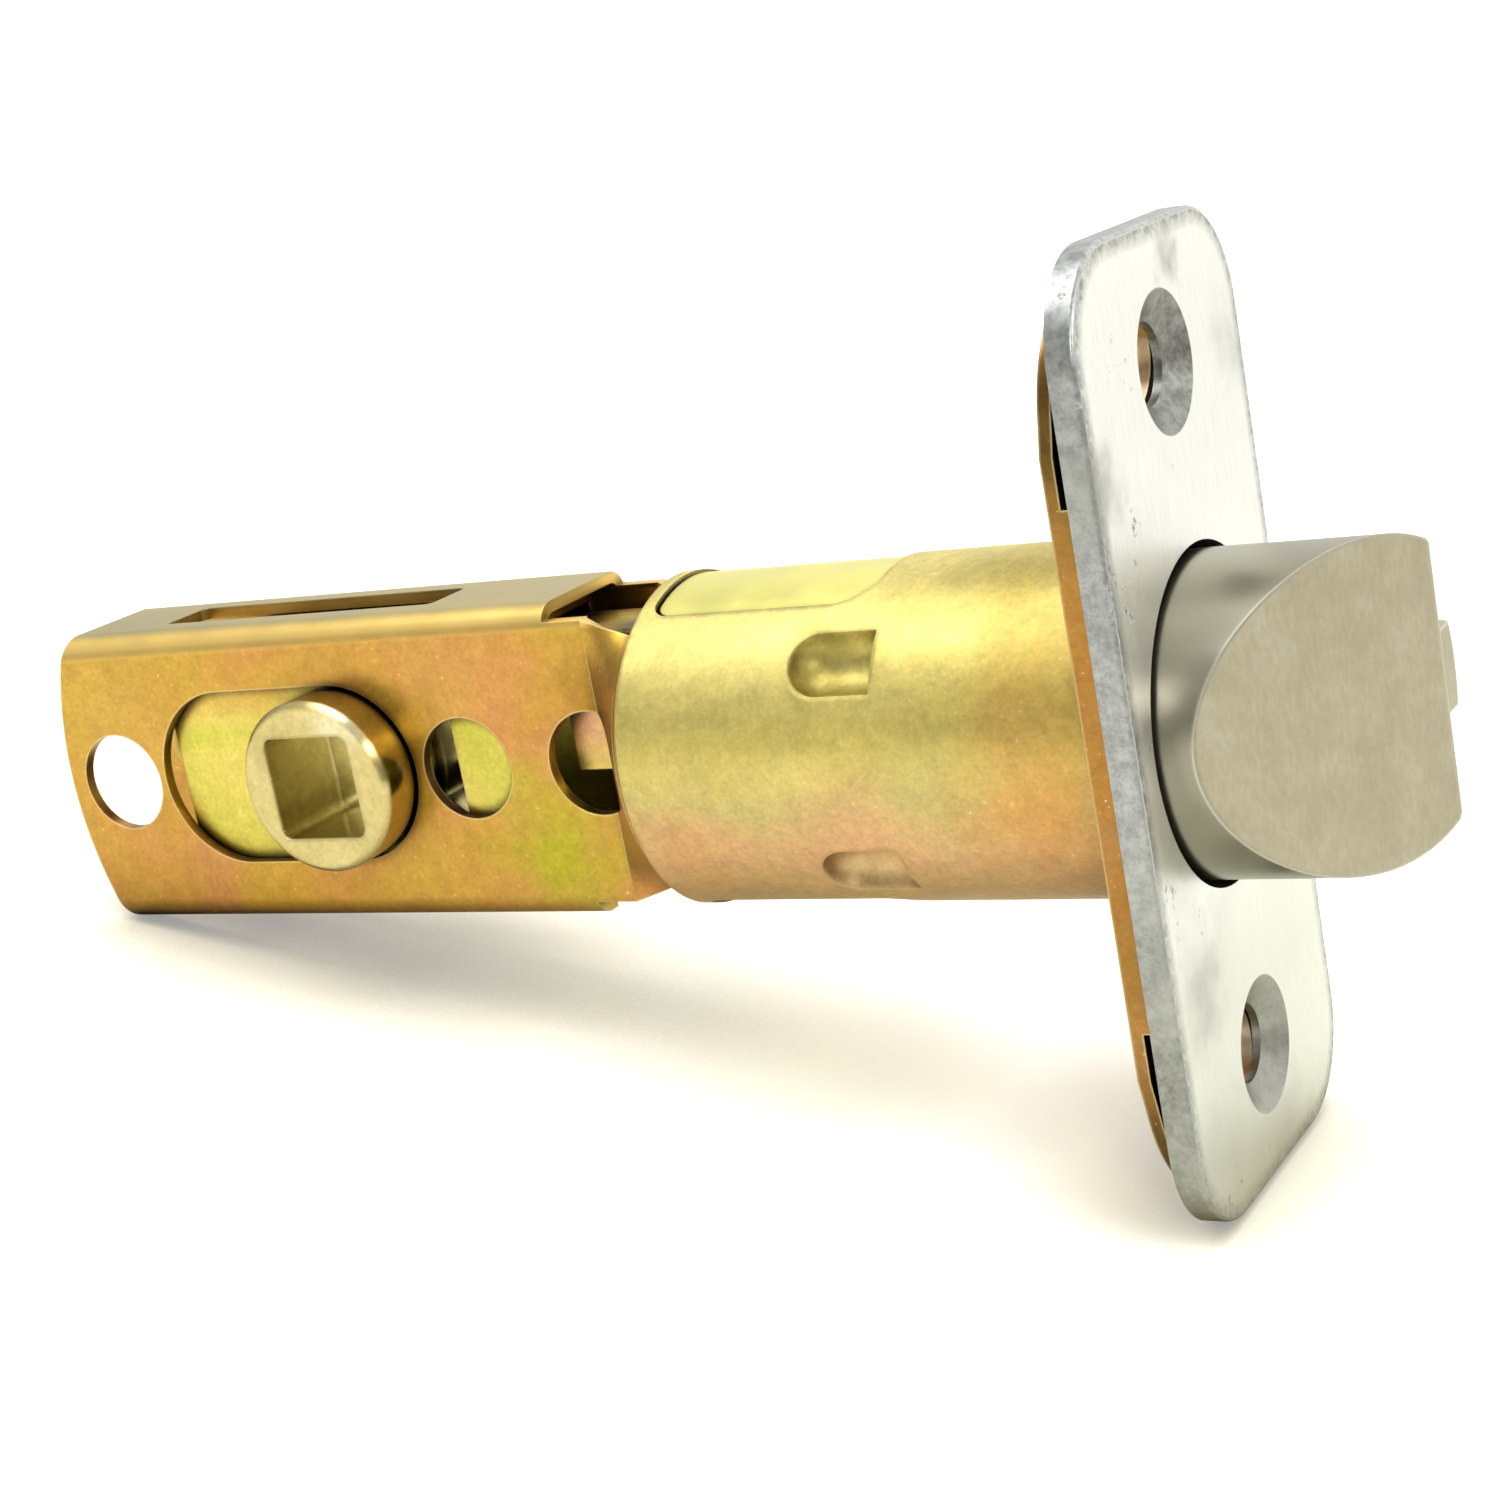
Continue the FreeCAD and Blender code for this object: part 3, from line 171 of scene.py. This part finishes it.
def add(tree, kind, inputs=None, stops=None, **settings):
    """Adds a node; inputs maps sockets to values or to other nodes' outputs."""
    made = tree.nodes.new("ShaderNode" + kind)
    for option, value in settings.items():
        setattr(made, option, value)
    for socket, value in (inputs or {}).items():
        if isinstance(value, bpy.types.NodeSocket):
            tree.links.new(value, made.inputs[socket])
        else:
            made.inputs[socket].default_value = value
    if stops:
        steps = made.color_ramp
        while len(steps.elements) < len(stops):
            steps.elements.new(0.5)
        for element, (place, code) in zip(steps.elements, stops):
            element.position = place
            element.color = linear(code)
    return made


def noise(tree, spot, scale, detail, roughness=0.5, distortion=0.0):
    """A noise between 0 and 1, with scale waves to a millimetre."""
    return add(tree, "TexNoise", {"Vector": spot, "Scale": scale, "Detail": detail, "Roughness": roughness,
                                  "Distortion": distortion}).outputs["Fac"]


def ranged(tree, value, begin, end, to_begin=0.0, to_end=1.0, **settings):
    """Carries a value from one range over to another and holds it at both ends."""
    return add(tree, "MapRange", {"Value": value, "From Min": begin, "From Max": end, "To Min": to_begin,
                                  "To Max": to_end}, **settings).outputs["Result"]


def product(tree, first, second):
    """One number times another."""
    return add(tree, "Math", {0: first, 1: second}, operation="MULTIPLY").outputs[0]


def vector(tree, operation, *inputs):
    """A step of vector maths, which gives a vector or, for a length, a number."""
    gives = "Value" if operation in ("DISTANCE", "DOT_PRODUCT", "LENGTH") else "Vector"
    return add(tree, "VectorMath", dict(enumerate(inputs)), operation=operation).outputs[gives]


def ramp(tree, value, stops):
    """A colour that runs from stop to stop as the value rises."""
    return add(tree, "ValToRGB", {"Fac": value}, stops=stops).outputs["Color"]


def blended(tree, share, under, over, way="MIX"):
    """Lays one colour over another by a share; the upper one may be a hex value."""
    over = linear(over) if isinstance(over, str) else over
    return add(tree, "Mix", {0: share, 6: under, 7: over}, data_type="RGBA", blend_type=way).outputs[2]


def start(name):
    """Makes an empty metal and gives its material, tree, shader and place in millimetres."""
    material = bpy.data.materials.new(name)
    material.use_nodes = True
    tree = material.node_tree
    tree.nodes.clear()
    shader = add(tree, "BsdfPrincipled", {"Metallic": 1.0})
    add(tree, "OutputMaterial", {"Surface": shader.outputs["BSDF"]})
    place = add(tree, "TexCoord").outputs["Object"]
    spot = add(tree, "VectorMath", {0: place, "Scale": 1 / MM}, operation="SCALE").outputs["Vector"]
    return material, tree, shader, spot


def finish(tree, shader, colour, roughness, normal=None):
    """Gives a shader its colour, its roughness and, where there is one, its bumped normal."""
    for socket, value in (("Base Color", colour), ("Roughness", roughness), ("Normal", normal)):
        if value is not None:
            tree.links.new(value, shader.inputs[socket])


def tinted(tree, spot, colour, places, ragged=5.0):
    """Lays ragged, soft-edged tints over a colour.

    A place is a centre and a reach in millimetres, a share and a colour. A noise shifts the
    edges by up to half of ragged.
    """
    waver = add(tree, "TexNoise", {"Vector": spot, "Scale": 0.35, "Detail": 4.0}).outputs["Color"]
    warped = vector(tree, "MULTIPLY_ADD", waver, (ragged,) * 3, spot)
    for centre, reach, share, code in places:
        middle = tuple(value + ragged / 2 for value in centre)
        away = vector(tree, "DISTANCE", warped, middle)
        near = ranged(tree, away, reach, 0.0, to_end=share, interpolation_type="SMOOTHSTEP")
        colour = blended(tree, near, colour, code)
    return colour


def shade_and_oil_in_depths(tree, colour, reach, share, code, clean=0.75, black=0.15):
    """Darkens a colour with painted shade and an old film of oil and dust, in gaps and inside the case.

    The painted shade and the film begin where the open sky within reach, in millimetres, falls
    to the share clean, and are whole at the share black.
    """
    open_sky = add(tree, "AmbientOcclusion", {"Distance": reach * MM}, samples=3).outputs["AO"]
    return blended(tree, ranged(tree, open_sky, clean, black, to_end=share), colour, code)


def worn_edges(tree, width, start_bend=0.004, full_bend=0.06):
    """Wear, whole at a sharp edge: how far a normal rounded over the width leans from its face's."""
    rounded = add(tree, "Bevel", {"Radius": width * MM}, samples=4).outputs["Normal"]
    plain = add(tree, "NewGeometry").outputs["Normal"]
    return ranged(tree, vector(tree, "DOT_PRODUCT", rounded, plain), 1 - start_bend, 1 - full_bend)


# %% [markdown]
# The frame, the tube and the inner plates are pressed steel with a yellow chromate over
# electroplated zinc. The film is thinner than a micron and shows faint rainbow colours:
# orange-gold where it is thick, lemon and green where it is thin, with pink between. The
# tint drifts over centimetres along a slow noise, through a colour ramp. Two finer noises
# darken and lighten it: blotches about a millimetre wide, and the zinc's crystals, about a
# third of that. Handling has rubbed the sheared edges pale. Painted shade, with an old film
# of oil, darkens the inside of the case, and a thin line of painted shade and grime fills
# the gaps between pieces.


# %% Yellow zinc
def yellow_zinc(name, tints, seed, roughness=0.34, steps=(), lit_height_band=None, places=(), oil_and_shade=0.85, soft=0.12,
                rubbed=0.6, grime_and_shade=0.8):
    """Chromated zinc: tints run along a slow noise, and crystals and bare specks go over them.

    A step is an axis, two coordinates on it, and the colour that begins between them. A band
    is two heights and the share of the tint that goes with the height between them; it is a
    painted light, which with the tube's tints makes the colour brighter and more lemon higher up.
    Places are the tints that stay in one spot. Edges look rounded over by the soft width, in
    millimetres, and are bare to the rubbed share. Two shares darken the colour with painted
    shade and an old film of oil: one deep inside, and one in the narrow gaps.
    """
    material, tree, shader, spot = start(name)
    parts = add(tree, "SeparateXYZ", {"Vector": spot}).outputs
    moved = add(tree, "Mapping", {"Vector": spot, "Location": (seed, seed * 2, seed * 3)}).outputs[0]
    along = noise(tree, moved, 0.0625, 3.0, 0.55, distortion=0.6)
    # The height band is a painted light: with the tube's tints the colour brightens higher up
    if lit_height_band:
        bottom, top, share = lit_height_band
        along = add(tree, "Mix", {0: share, 2: along, 3: ranged(tree, parts["Z"], bottom, top)}).outputs[0]
    colour = tinted(tree, spot, ramp(tree, along, tints), places)
    crystals = noise(tree, spot, 3.0, 4.0, 0.7)
    blotches = noise(tree, spot, 0.9, 5.0, 0.7)
    for mottle in (crystals, blotches):
        shade = ranged(tree, mottle, 0.3, 0.7, 0.86, 1.08)
        colour = blended(tree, 1.0, colour, shade, "MULTIPLY")
    specks = ranged(tree, crystals, 0.68, 0.74)
    colour = blended(tree, specks, colour, "#F0E2B4")
    bare = product(tree, worn_edges(tree, 0.22), rubbed)
    colour = blended(tree, bare, colour, "#EBDFA6")
    for axis, begin, end, code in steps:
        colour = blended(tree, ranged(tree, parts[axis], begin, end), colour, code)
    # Painted shade with an old film of oil: deep inside the case, then in the narrow gaps
    colour = shade_and_oil_in_depths(tree, colour, 7.0, oil_and_shade, "#2A2012")
    colour = shade_and_oil_in_depths(tree, colour, 0.8, grime_and_shade, "#4A3C1C", clean=0.93, black=0.7)
    smudge = noise(tree, spot, 0.22, 5.0, 0.6)
    dull = ranged(tree, smudge, 0.35, 0.65, roughness - 0.06, roughness + 0.08)
    rounded = add(tree, "Bevel", {"Radius": soft * MM}, samples=3).outputs["Normal"]
    grain = add(tree, "Bump", {"Height": crystals, "Strength": 0.05, "Distance": 0.02 * MM,
                               "Normal": rounded}).outputs["Normal"]
    finish(tree, shader, colour, dull, grain)
    return material


# %% [markdown]
# Each zinc piece has its own drift of tints and its own places. The frame has a painted
# highlight along its upper bend, painted shade on its top face and beside the crease before
# its sleeve, and turns lemon in the sleeve that shows through the tube's window. The tube
# goes from pink at its belly to lemon on top, partly as a painted light that brightens it
# with height; its upper dent has painted shade inside, and its lower dent a painted light.
# The backing plate shows grey round its screw holes, and painted shade darkens its side edge
# at both ends and low down. A near-black place in the inner plates is painted shade. On the
# hub, a pale and a dark place on its face are a painted highlight and a painted reflection,
# and two near-black places inside the case are painted shade.

# %% Zinc pieces
finishes = {
    "yellow_zinc_frame": yellow_zinc(
        "orange gold zinc", seed=3,
        tints=[(0.30, "#C2A044"), (0.42, "#C09A43"), (0.52, "#C19246"), (0.60, "#C48B52"), (0.70, "#C09B4A")],
        # The first step is a painted highlight along the upper bend, the second painted shade on the top face
        steps=[("Z", 8.8, 9.6, "#F0CE78"), ("Z", 10.2, 10.5, "#C4B47C"), ("X", -34.6, -34.2, "#EFE888")],
        places=[((-44.0, -5.2, -5.8), 8.0, 0.9, "#A9A42C"), ((-66.0, -5.2, -9.0), 8.0, 0.5, "#C29A38"),
                ((-50.0, -5.2, 7.0), 8.0, 0.4, "#C88560"), ((-79.0, -5.2, 6.0), 8.0, 0.4, "#BE9C4E"),
                # The last place is painted shade beside the crease before the sleeve
                ((-36.0, 0.0, -9.0), 6.0, 0.5, "#C07E5A"), ((-37.5, -6.0, 4.0), 6.0, 0.9, "#84601C")]),
    "yellow_zinc_tube": yellow_zinc(
        # The band is a painted light: the tint brightens towards the top
        "pale gold zinc", seed=7, roughness=0.44, soft=0.5, rubbed=0.15, lit_height_band=(-9.0, 10.0, 0.6),
        tints=[(0.18, "#C9AA74"), (0.32, "#CEA876"), (0.44, "#BFB070"), (0.58, "#D2C06C"), (0.75, "#DFD080")],
        places=[((-20.0, -10.0, -3.5), 6.0, 0.4, "#D69A7A"), ((-7.0, -10.0, -2.0), 8.0, 0.7, "#C88E4C"),
                ((-31.0, -10.0, -5.0), 6.0, 0.5, "#CC9868"), ((-16.0, -6.0, 8.5), 5.0, 0.4, "#C2AA54"),
                ((-6.0, -8.0, 4.0), 8.0, 0.6, "#C8A04C"), ((-9.0, -4.0, 9.6), 8.0, 0.8, "#A8954C"),
                # The two dark places in the upper dent are painted shade, the pale one in the lower dent
                # painted light
                ((-20.8, -8.1, 6.6), 3.0, 0.6, "#83741C"), ((-18.4, -8.2, 6.9), 2.6, 0.8, "#948C2C"),
                ((-20.1, -8.2, -6.4), 3.4, 0.8, "#EACB92")]),
    "yellow_zinc_backing": yellow_zinc(
        "orange zinc", seed=23, oil_and_shade=0.5, grime_and_shade=0.0,
        tints=[(0.32, "#AA8040"), (0.5, "#A4763A"), (0.64, "#A87C48")],
        # These three places are painted shade on the side edge: at both ends and low down
        places=[((-2.3, -12.2, 19.0), 9.0, 0.9, "#524122"), ((-2.3, -12.2, -22.0), 8.0, 0.9, "#524122"),
                ((-2.3, -12.2, -11.0), 8.0, 0.6, "#8C6A32"),
                ((-2.7, 0.0, 20.65), 5.5, 1.0, "#A8A8A2"), ((-2.7, 0.0, -20.65), 5.5, 1.0, "#C8C8C2")]),
    "yellow_zinc": yellow_zinc(
        "lemon zinc", seed=11,
        tints=[(0.35, "#C6C04E"), (0.5, "#D9C664"), (0.65, "#D2A450")],
        # The second place, near-black near the top of the case, is painted shade
        places=[((-41.0, -3.0, 3.0), 5.0, 1.0, "#EEB48C"), ((-36.5, -2.0, 9.5), 5.5, 1.0, "#241C0E")]),
    "yellow_zinc_hub": yellow_zinc(
        "cream zinc", seed=17, roughness=0.2, oil_and_shade=0.2, soft=0.45, rubbed=0.1,
        tints=[(0.35, "#C8BE84"), (0.5, "#D2C78C"), (0.65, "#C4B478")],
        # A painted highlight and a painted reflection on the hub's face, then two near-black places of
        # painted shade inside the case
        places=[((-57.5, -8.5, 4.0), 3.0, 0.6, "#E4DEC0"), ((-63.5, -8.5, 3.5), 3.5, 0.5, "#A8955A"),
                ((-52.6, 0.0, -6.0), 6.5, 1.0, "#1E1910"), ((-52.6, 0.0, 6.0), 6.5, 1.0, "#1E1910")]),
}
print("zinc finishes:", sorted(finishes))

# %% [markdown]
# The faceplate is steel with a satin nickel plate. It was brushed along its length, so its
# roughness runs in fine streaks. It has been handled: the plate is scuffed at its edges and
# worn along the rim in a ragged line, and grey places darken it below and left of the bolt.
# The pits are the high cells of a noise, kept where a slower noise allows, so that they come
# in groups, and only on the half where the photograph shows them. The sheared sides and the
# countersinks are darker steel, and the lower half has painted shade, a slightly darker tone
# towards the bottom.

# %% Satin nickel
HALF_WIDTH = 12.7
HALF_HEIGHT = 28.575
PLATE_CORNER = 6.35
SCREW_Z = 20.65
SINK_RADIUS = 4.1
material, tree, shader, spot = start("worn satin nickel")
parts = add(tree, "SeparateXYZ", {"Vector": spot}).outputs
brushed = add(tree, "Mapping", {"Vector": spot, "Scale": (1.0, 9.0, 0.35)}).outputs[0]
streaks = noise(tree, brushed, 1.0, 4.0, 0.6)
scuffs = noise(tree, spot, 1.3, 6.0, 0.75)
groups = noise(tree, spot, 0.16, 2.0)
colour = ramp(tree, streaks, [(0.3, "#E4E5E1"), (0.55, "#EFF0EC"), (0.8, "#F8F8F5")])

# Sheared sides: the face's own normal leans away from the front
facing = add(tree, "SeparateXYZ", {"Vector": add(tree, "TexCoord").outputs["Normal"]}).outputs["X"]
aside = ranged(tree, facing, 0.985, 0.9)
colour = blended(tree, aside, colour, ramp(tree, scuffs, [(0.38, "#868886"), (0.62, "#AAACA9")]))

# Countersinks: near one of the two screws, which the absolute place folds into one
folded = vector(tree, "ABSOLUTE", spot)
from_screw = vector(tree, "DISTANCE", vector(tree, "MULTIPLY", folded, (0, 1, 1)), (0, 0, SCREW_Z))
sunk = ranged(tree, from_screw, SINK_RADIUS + 0.1, SINK_RADIUS)
colour = blended(tree, sunk, colour, ramp(tree, scuffs, [(0.4, "#666763"), (0.6, "#868782")]))

# Rim: distance from the centre of the rounded corner, on the front only
past_centre = vector(tree, "SUBTRACT", folded, (0, HALF_WIDTH - PLATE_CORNER, HALF_HEIGHT - PLATE_CORNER))
outside = vector(tree, "MULTIPLY", vector(tree, "MAXIMUM", past_centre, (0, 0, 0)), (0, 1, 1))
near_rim = ranged(tree, vector(tree, "LENGTH", outside), PLATE_CORNER - 1.3, PLATE_CORNER - 0.35)
on_front = add(tree, "Math", {0: 0.9, 1: aside}, operation="SUBTRACT", use_clamp=True).outputs[0]
ragged = ranged(tree, scuffs, 0.35, 0.6, to_begin=0.3)
rim = product(tree, product(tree, near_rim, ragged), on_front)
colour = blended(tree, rim, colour, "#777975")

# Lower half in painted shade, grey places and pits
colour = blended(tree, ranged(tree, parts["Z"], -3.0, -17.0), colour, "#E0E1D8", "MULTIPLY")
colour = tinted(tree, spot, colour, [
    ((0, -7.5, -14.0), 3.5, 0.8, "#9C9D96"), ((0, -9.0, -24.0), 7.0, 0.6, "#ABACA4"),
    ((0, 2.0, -27.5), 6.0, 0.5, "#ABACA4"), ((0, 2.5, 26.5), 3.0, 0.7, "#9C9D96"),
    ((0, -12.0, 16.0), 4.0, 0.7, "#9C9D96"), ((0, 4.0, -17.0), 12.0, 0.45, "#C2C3B8"),
    ((0, -6.0, -14.0), 9.0, 0.5, "#B4B5AC"), ((0, -3.0, -26.0), 8.0, 0.5, "#B4B5AC"),
    ((0, -11.0, -6.0), 6.0, 0.4, "#ABACA4"), ((0, -9.5, -13.0), 6.0, 0.5, "#A5A69E"),
    ((0, 10.5, 20.0), 4.0, 0.4, "#ABACA4")], ragged=6.0)
pits = ranged(tree, product(tree, scuffs, groups), 0.345, 0.40)
pitted = product(tree, pits, ranged(tree, parts["Y"], 1.0, -4.0))
colour = blended(tree, pitted, colour, "#8B8D8A")
rough = ranged(tree, streaks, 0.0, 1.0, 0.28, 0.42)
dents = add(tree, "Bump", {"Height": product(tree, pitted, -1.0), "Strength": 0.4,
                           "Distance": 0.05 * MM}).outputs["Normal"]
finish(tree, shader, colour, rough, dents)
finishes["satin_nickel"] = material

# %% [markdown]
# The bolt and the plunger are pressed from steel powder and sintered, then tumbled. That
# leaves a matt, warm grey skin with a faint cloudiness and grains of a few tenths of a
# millimetre. The bevel was ground, and its strokes run up and down the face. The round
# side was turned, so it is smoother, and it has painted shade that makes it darker; it
# begins near the bolt's full radius.

# %% Sintered steel
TURNED_RADIUS = 9.6
material, tree, shader, spot = start("sintered steel")
ground = add(tree, "Mapping", {"Vector": spot, "Scale": (3.4, 3.4, 1.2)}).outputs[0]
strokes = noise(tree, ground, 1.0, 5.0, 0.7)
cloud = noise(tree, spot, 0.3, 4.0, 0.6)
both = add(tree, "Mix", {0: 0.5, 2: strokes, 3: cloud}).outputs[0]
colour = ramp(tree, both, [(0.35, "#A19A83"), (0.5, "#AAA38B"), (0.65, "#B4AD97")])
radius = vector(tree, "LENGTH", vector(tree, "MULTIPLY", spot, (0, 1, 1)))
turned = ranged(tree, radius, TURNED_RADIUS - 0.15, TURNED_RADIUS)
# Painted shade: the turned side is darker than the bevel
colour = blended(tree, turned, colour, "#8F8B7A")
colour = blended(tree, product(tree, worn_edges(tree, 0.3), 0.7), colour, "#DAD6C6")
rough = add(tree, "Mix", {0: turned, 2: ranged(tree, strokes, 0.0, 1.0, 0.4, 0.56), 3: 0.3}).outputs[0]
grains = noise(tree, spot, 4.5, 3.0, 0.6)
relief = add(tree, "Bump", {"Height": grains, "Strength": 0.12, "Distance": 0.03 * MM}).outputs["Normal"]
finish(tree, shader, colour, rough, relief)
finishes["sintered_steel"] = material

# %% [markdown]
# The rod, the pins and the rivets are bright drawn steel, and the springs are drawn spring
# wire, darker from its heat treatment. Drawing leaves lines along the bar, which are too
# fine to see here, so a slow change of tone and gloss stands for the film of oil. These
# pieces lie deep in the case, where painted shade, with the old oil, turns them nearly black.

# %% Drawn steel and spring wire
for slot_name, title, dark, pale, gloss in (("plain_steel", "bright drawn steel", "#A9A9A4", "#C4C3BC", 0.28),
                                            ("spring_steel", "spring wire", "#77756E", "#96948C", 0.32)):
    material, tree, shader, spot = start(title)
    film = noise(tree, spot, 0.5, 4.0, 0.6)
    colour = ramp(tree, film, [(0.35, dark), (0.65, pale)])
    # Painted shade with old oil, deep inside the case
    colour = shade_and_oil_in_depths(tree, colour, 7.0, 0.97, "#14110C", clean=0.95, black=0.5)
    finish(tree, shader, colour, ranged(tree, film, 0.0, 1.0, gloss - 0.05, gloss + 0.12))
    finishes[slot_name] = material

# %% Put each finish on its pieces
for node, piece in skins.items():
    piece.data.materials.clear()
    piece.data.materials.append(finishes[SLOT_OF[node]])
    frame["nodes"][node].data.materials[0] = finishes[SLOT_OF[node]]
print("finishes:", sorted(finishes))

# %% [markdown]
# In the photograph the latch leans back: it stands on the faceplate's lower end and on the
# tail of the frame. The latch keeps its own upright place here, so the table tilts to
# meet both of those edges. It is seen from above only, so that a view from below still
# shows the latch. Close to the latch the card takes a warm shade, and it glows a little for
# the camera alone, which keeps it nearly white and sheds no light on the metal.

# %% Table
REST_FRONT = Vector((-1.7, 0, -28.62)) * MM
REST_REAR = Vector((-82.6, 0, -10.56)) * MM
TABLE_REACH = 1.5
SHADE_REACH = 16.0
slope = (REST_FRONT - REST_REAR).normalized()
print("table leans", round(math.degrees(math.asin(slope.z)), 1), "degrees")
middle = (REST_FRONT + REST_REAR) / 2
u, v = np.meshgrid([-TABLE_REACH, TABLE_REACH], [-TABLE_REACH, TABLE_REACH])
corners = [middle + slope * a + Vector((0, 1, 0)) * b for a, b in zip(u.ravel(), v.ravel())]
table_mesh = bpy.data.meshes.new("table")
table_mesh.from_pydata([tuple(c) for c in corners], [], [(0, 1, 3, 2)])
table = bpy.data.objects.new("table", table_mesh)
bpy.context.collection.objects.link(table)
if table_mesh.polygons[0].normal.z < 0:
    table_mesh.flip_normals()

material = bpy.data.materials.new("pale table")
material.use_nodes = True
tree = material.node_tree
tree.nodes.clear()
touch = add(tree, "AmbientOcclusion", {"Distance": SHADE_REACH * MM}, samples=4).outputs["AO"]
shade = ramp(tree, touch, [(0.35, "#6E6442"), (0.66, "#BDB48A"), (0.84, "#F2F0E4"), (1.0, "#F4F3EC")])
card = add(tree, "BsdfDiffuse", {"Color": shade}).outputs[0]
glow = add(tree, "Emission", {"Color": linear("#FFFFFF"), "Strength": 0.32}).outputs[0]
lit = add(tree, "AddShader", {0: card, 1: glow}).outputs[0]
to_camera = add(tree, "LightPath").outputs["Is Camera Ray"]
seen = add(tree, "MixShader", {0: to_camera, 1: card, 2: lit}).outputs[0]
clear = add(tree, "BsdfTransparent").outputs[0]
below = add(tree, "NewGeometry").outputs["Backfacing"]
shown = add(tree, "MixShader", {0: product(tree, below, to_camera), 1: seen, 2: clear}).outputs[0]
add(tree, "OutputMaterial", {"Surface": shown})
table_mesh.materials.append(material)

# %% [markdown]
# The light is a white tent: a large soft lamp overhead, a weaker one in front of the bolt,
# and a small one above the camera for the crisp glints. Metal shows what it mirrors, so the
# world is bright above and falls to a mid grey at the horizon, which models the tube with a
# highlight along its top and a darker belly. The flat faceplate mirrors one part of the
# tent only, behind it and to the right, so that part is brighter. The camera itself sees
# plain white.

# %% World and lamps
world = bpy.data.worlds.new("white tent")
bpy.context.scene.world = world
world.use_nodes = True
tree = world.node_tree
tree.nodes.clear()
direction = add(tree, "TexCoord").outputs["Generated"]
height = add(tree, "SeparateXYZ", {"Vector": direction}).outputs["Z"]
tent = ramp(tree, ranged(tree, height, -1.0, 1.0),
            [(0.0, "#C8C5BC"), (0.46, "#B6B4AD"), (0.60, "#CFCEC9"), (0.8, "#FFFFFF")])
behind = vector(tree, "DOT_PRODUCT", direction, (0.5, 0.83, 0.0))
lift = ranged(tree, behind, 0.2, 0.9, 0.8, 2.4)
soft = add(tree, "Background", {"Color": tent, "Strength": lift}).outputs[0]
white = add(tree, "Background", {"Color": linear("#FFFFFF"), "Strength": 1.0}).outputs[0]
to_camera = add(tree, "LightPath").outputs["Is Camera Ray"]
mixed = add(tree, "MixShader", {0: to_camera, 1: soft, 2: white}).outputs[0]
add(tree, "OutputWorld", {"Surface": mixed})


def lamp(name, place, target, size, power):
    """A square area lamp that faces a target: places and size in millimetres, power in watts."""
    data = bpy.data.lights.new(name, "AREA")
    data.size = size * MM
    data.energy = power
    made = bpy.data.objects.new(name, data)
    bpy.context.collection.objects.link(made)
    made.location = Vector(place) * MM
    aim = (Vector(target) - Vector(place)).normalized()
    made.rotation_mode = "QUATERNION"
    made.rotation_quaternion = aim.to_track_quat("-Z", "Y")


lamp("overhead lamp", place=(-60, -60, 330), target=(-35, 0, 0), size=260, power=0.8)
lamp("front lamp", place=(300, -60, 160), target=(0, 0, 0), size=200, power=0.45)
lamp("small lamp", place=(177, -272, 150), target=(0, 0, 0), size=50, power=0.22)

# %% [markdown]
# The camera was worked out from the photograph: the faceplate's outline, its holes, the
# tube's rims and the frame's windows were matched to their real places in the latch. Its
# focal length is known in pixels of a picture 1500 pixels wide.

# %% Camera
SENSOR_WIDTH = 36.0
FOCAL_PIXELS = 2789.0
PICTURE_PIXELS = 1500
CAMERA_PLACE = Vector((58.184, -147.529, 41.932)) * MM
camera = bpy.data.objects.new("camera", bpy.data.cameras.new("camera"))
bpy.context.collection.objects.link(camera)
camera.data.sensor_width = SENSOR_WIDTH
camera.data.lens = FOCAL_PIXELS / PICTURE_PIXELS * SENSOR_WIDTH
right = Vector((0.86260, 0.47258, -0.18051))
above = Vector((0.03549, 0.29942, 0.95346))
back = Vector((0.50463, -0.82887, 0.24151))
turn = Matrix((right, above, back)).transposed().to_4x4()
camera.matrix_world = Matrix.Translation(CAMERA_PLACE) @ turn
camera.data.clip_start = 0.01
camera.data.clip_end = 10.0
bpy.context.scene.camera = camera
bpy.context.scene.view_settings.view_transform = "Standard"
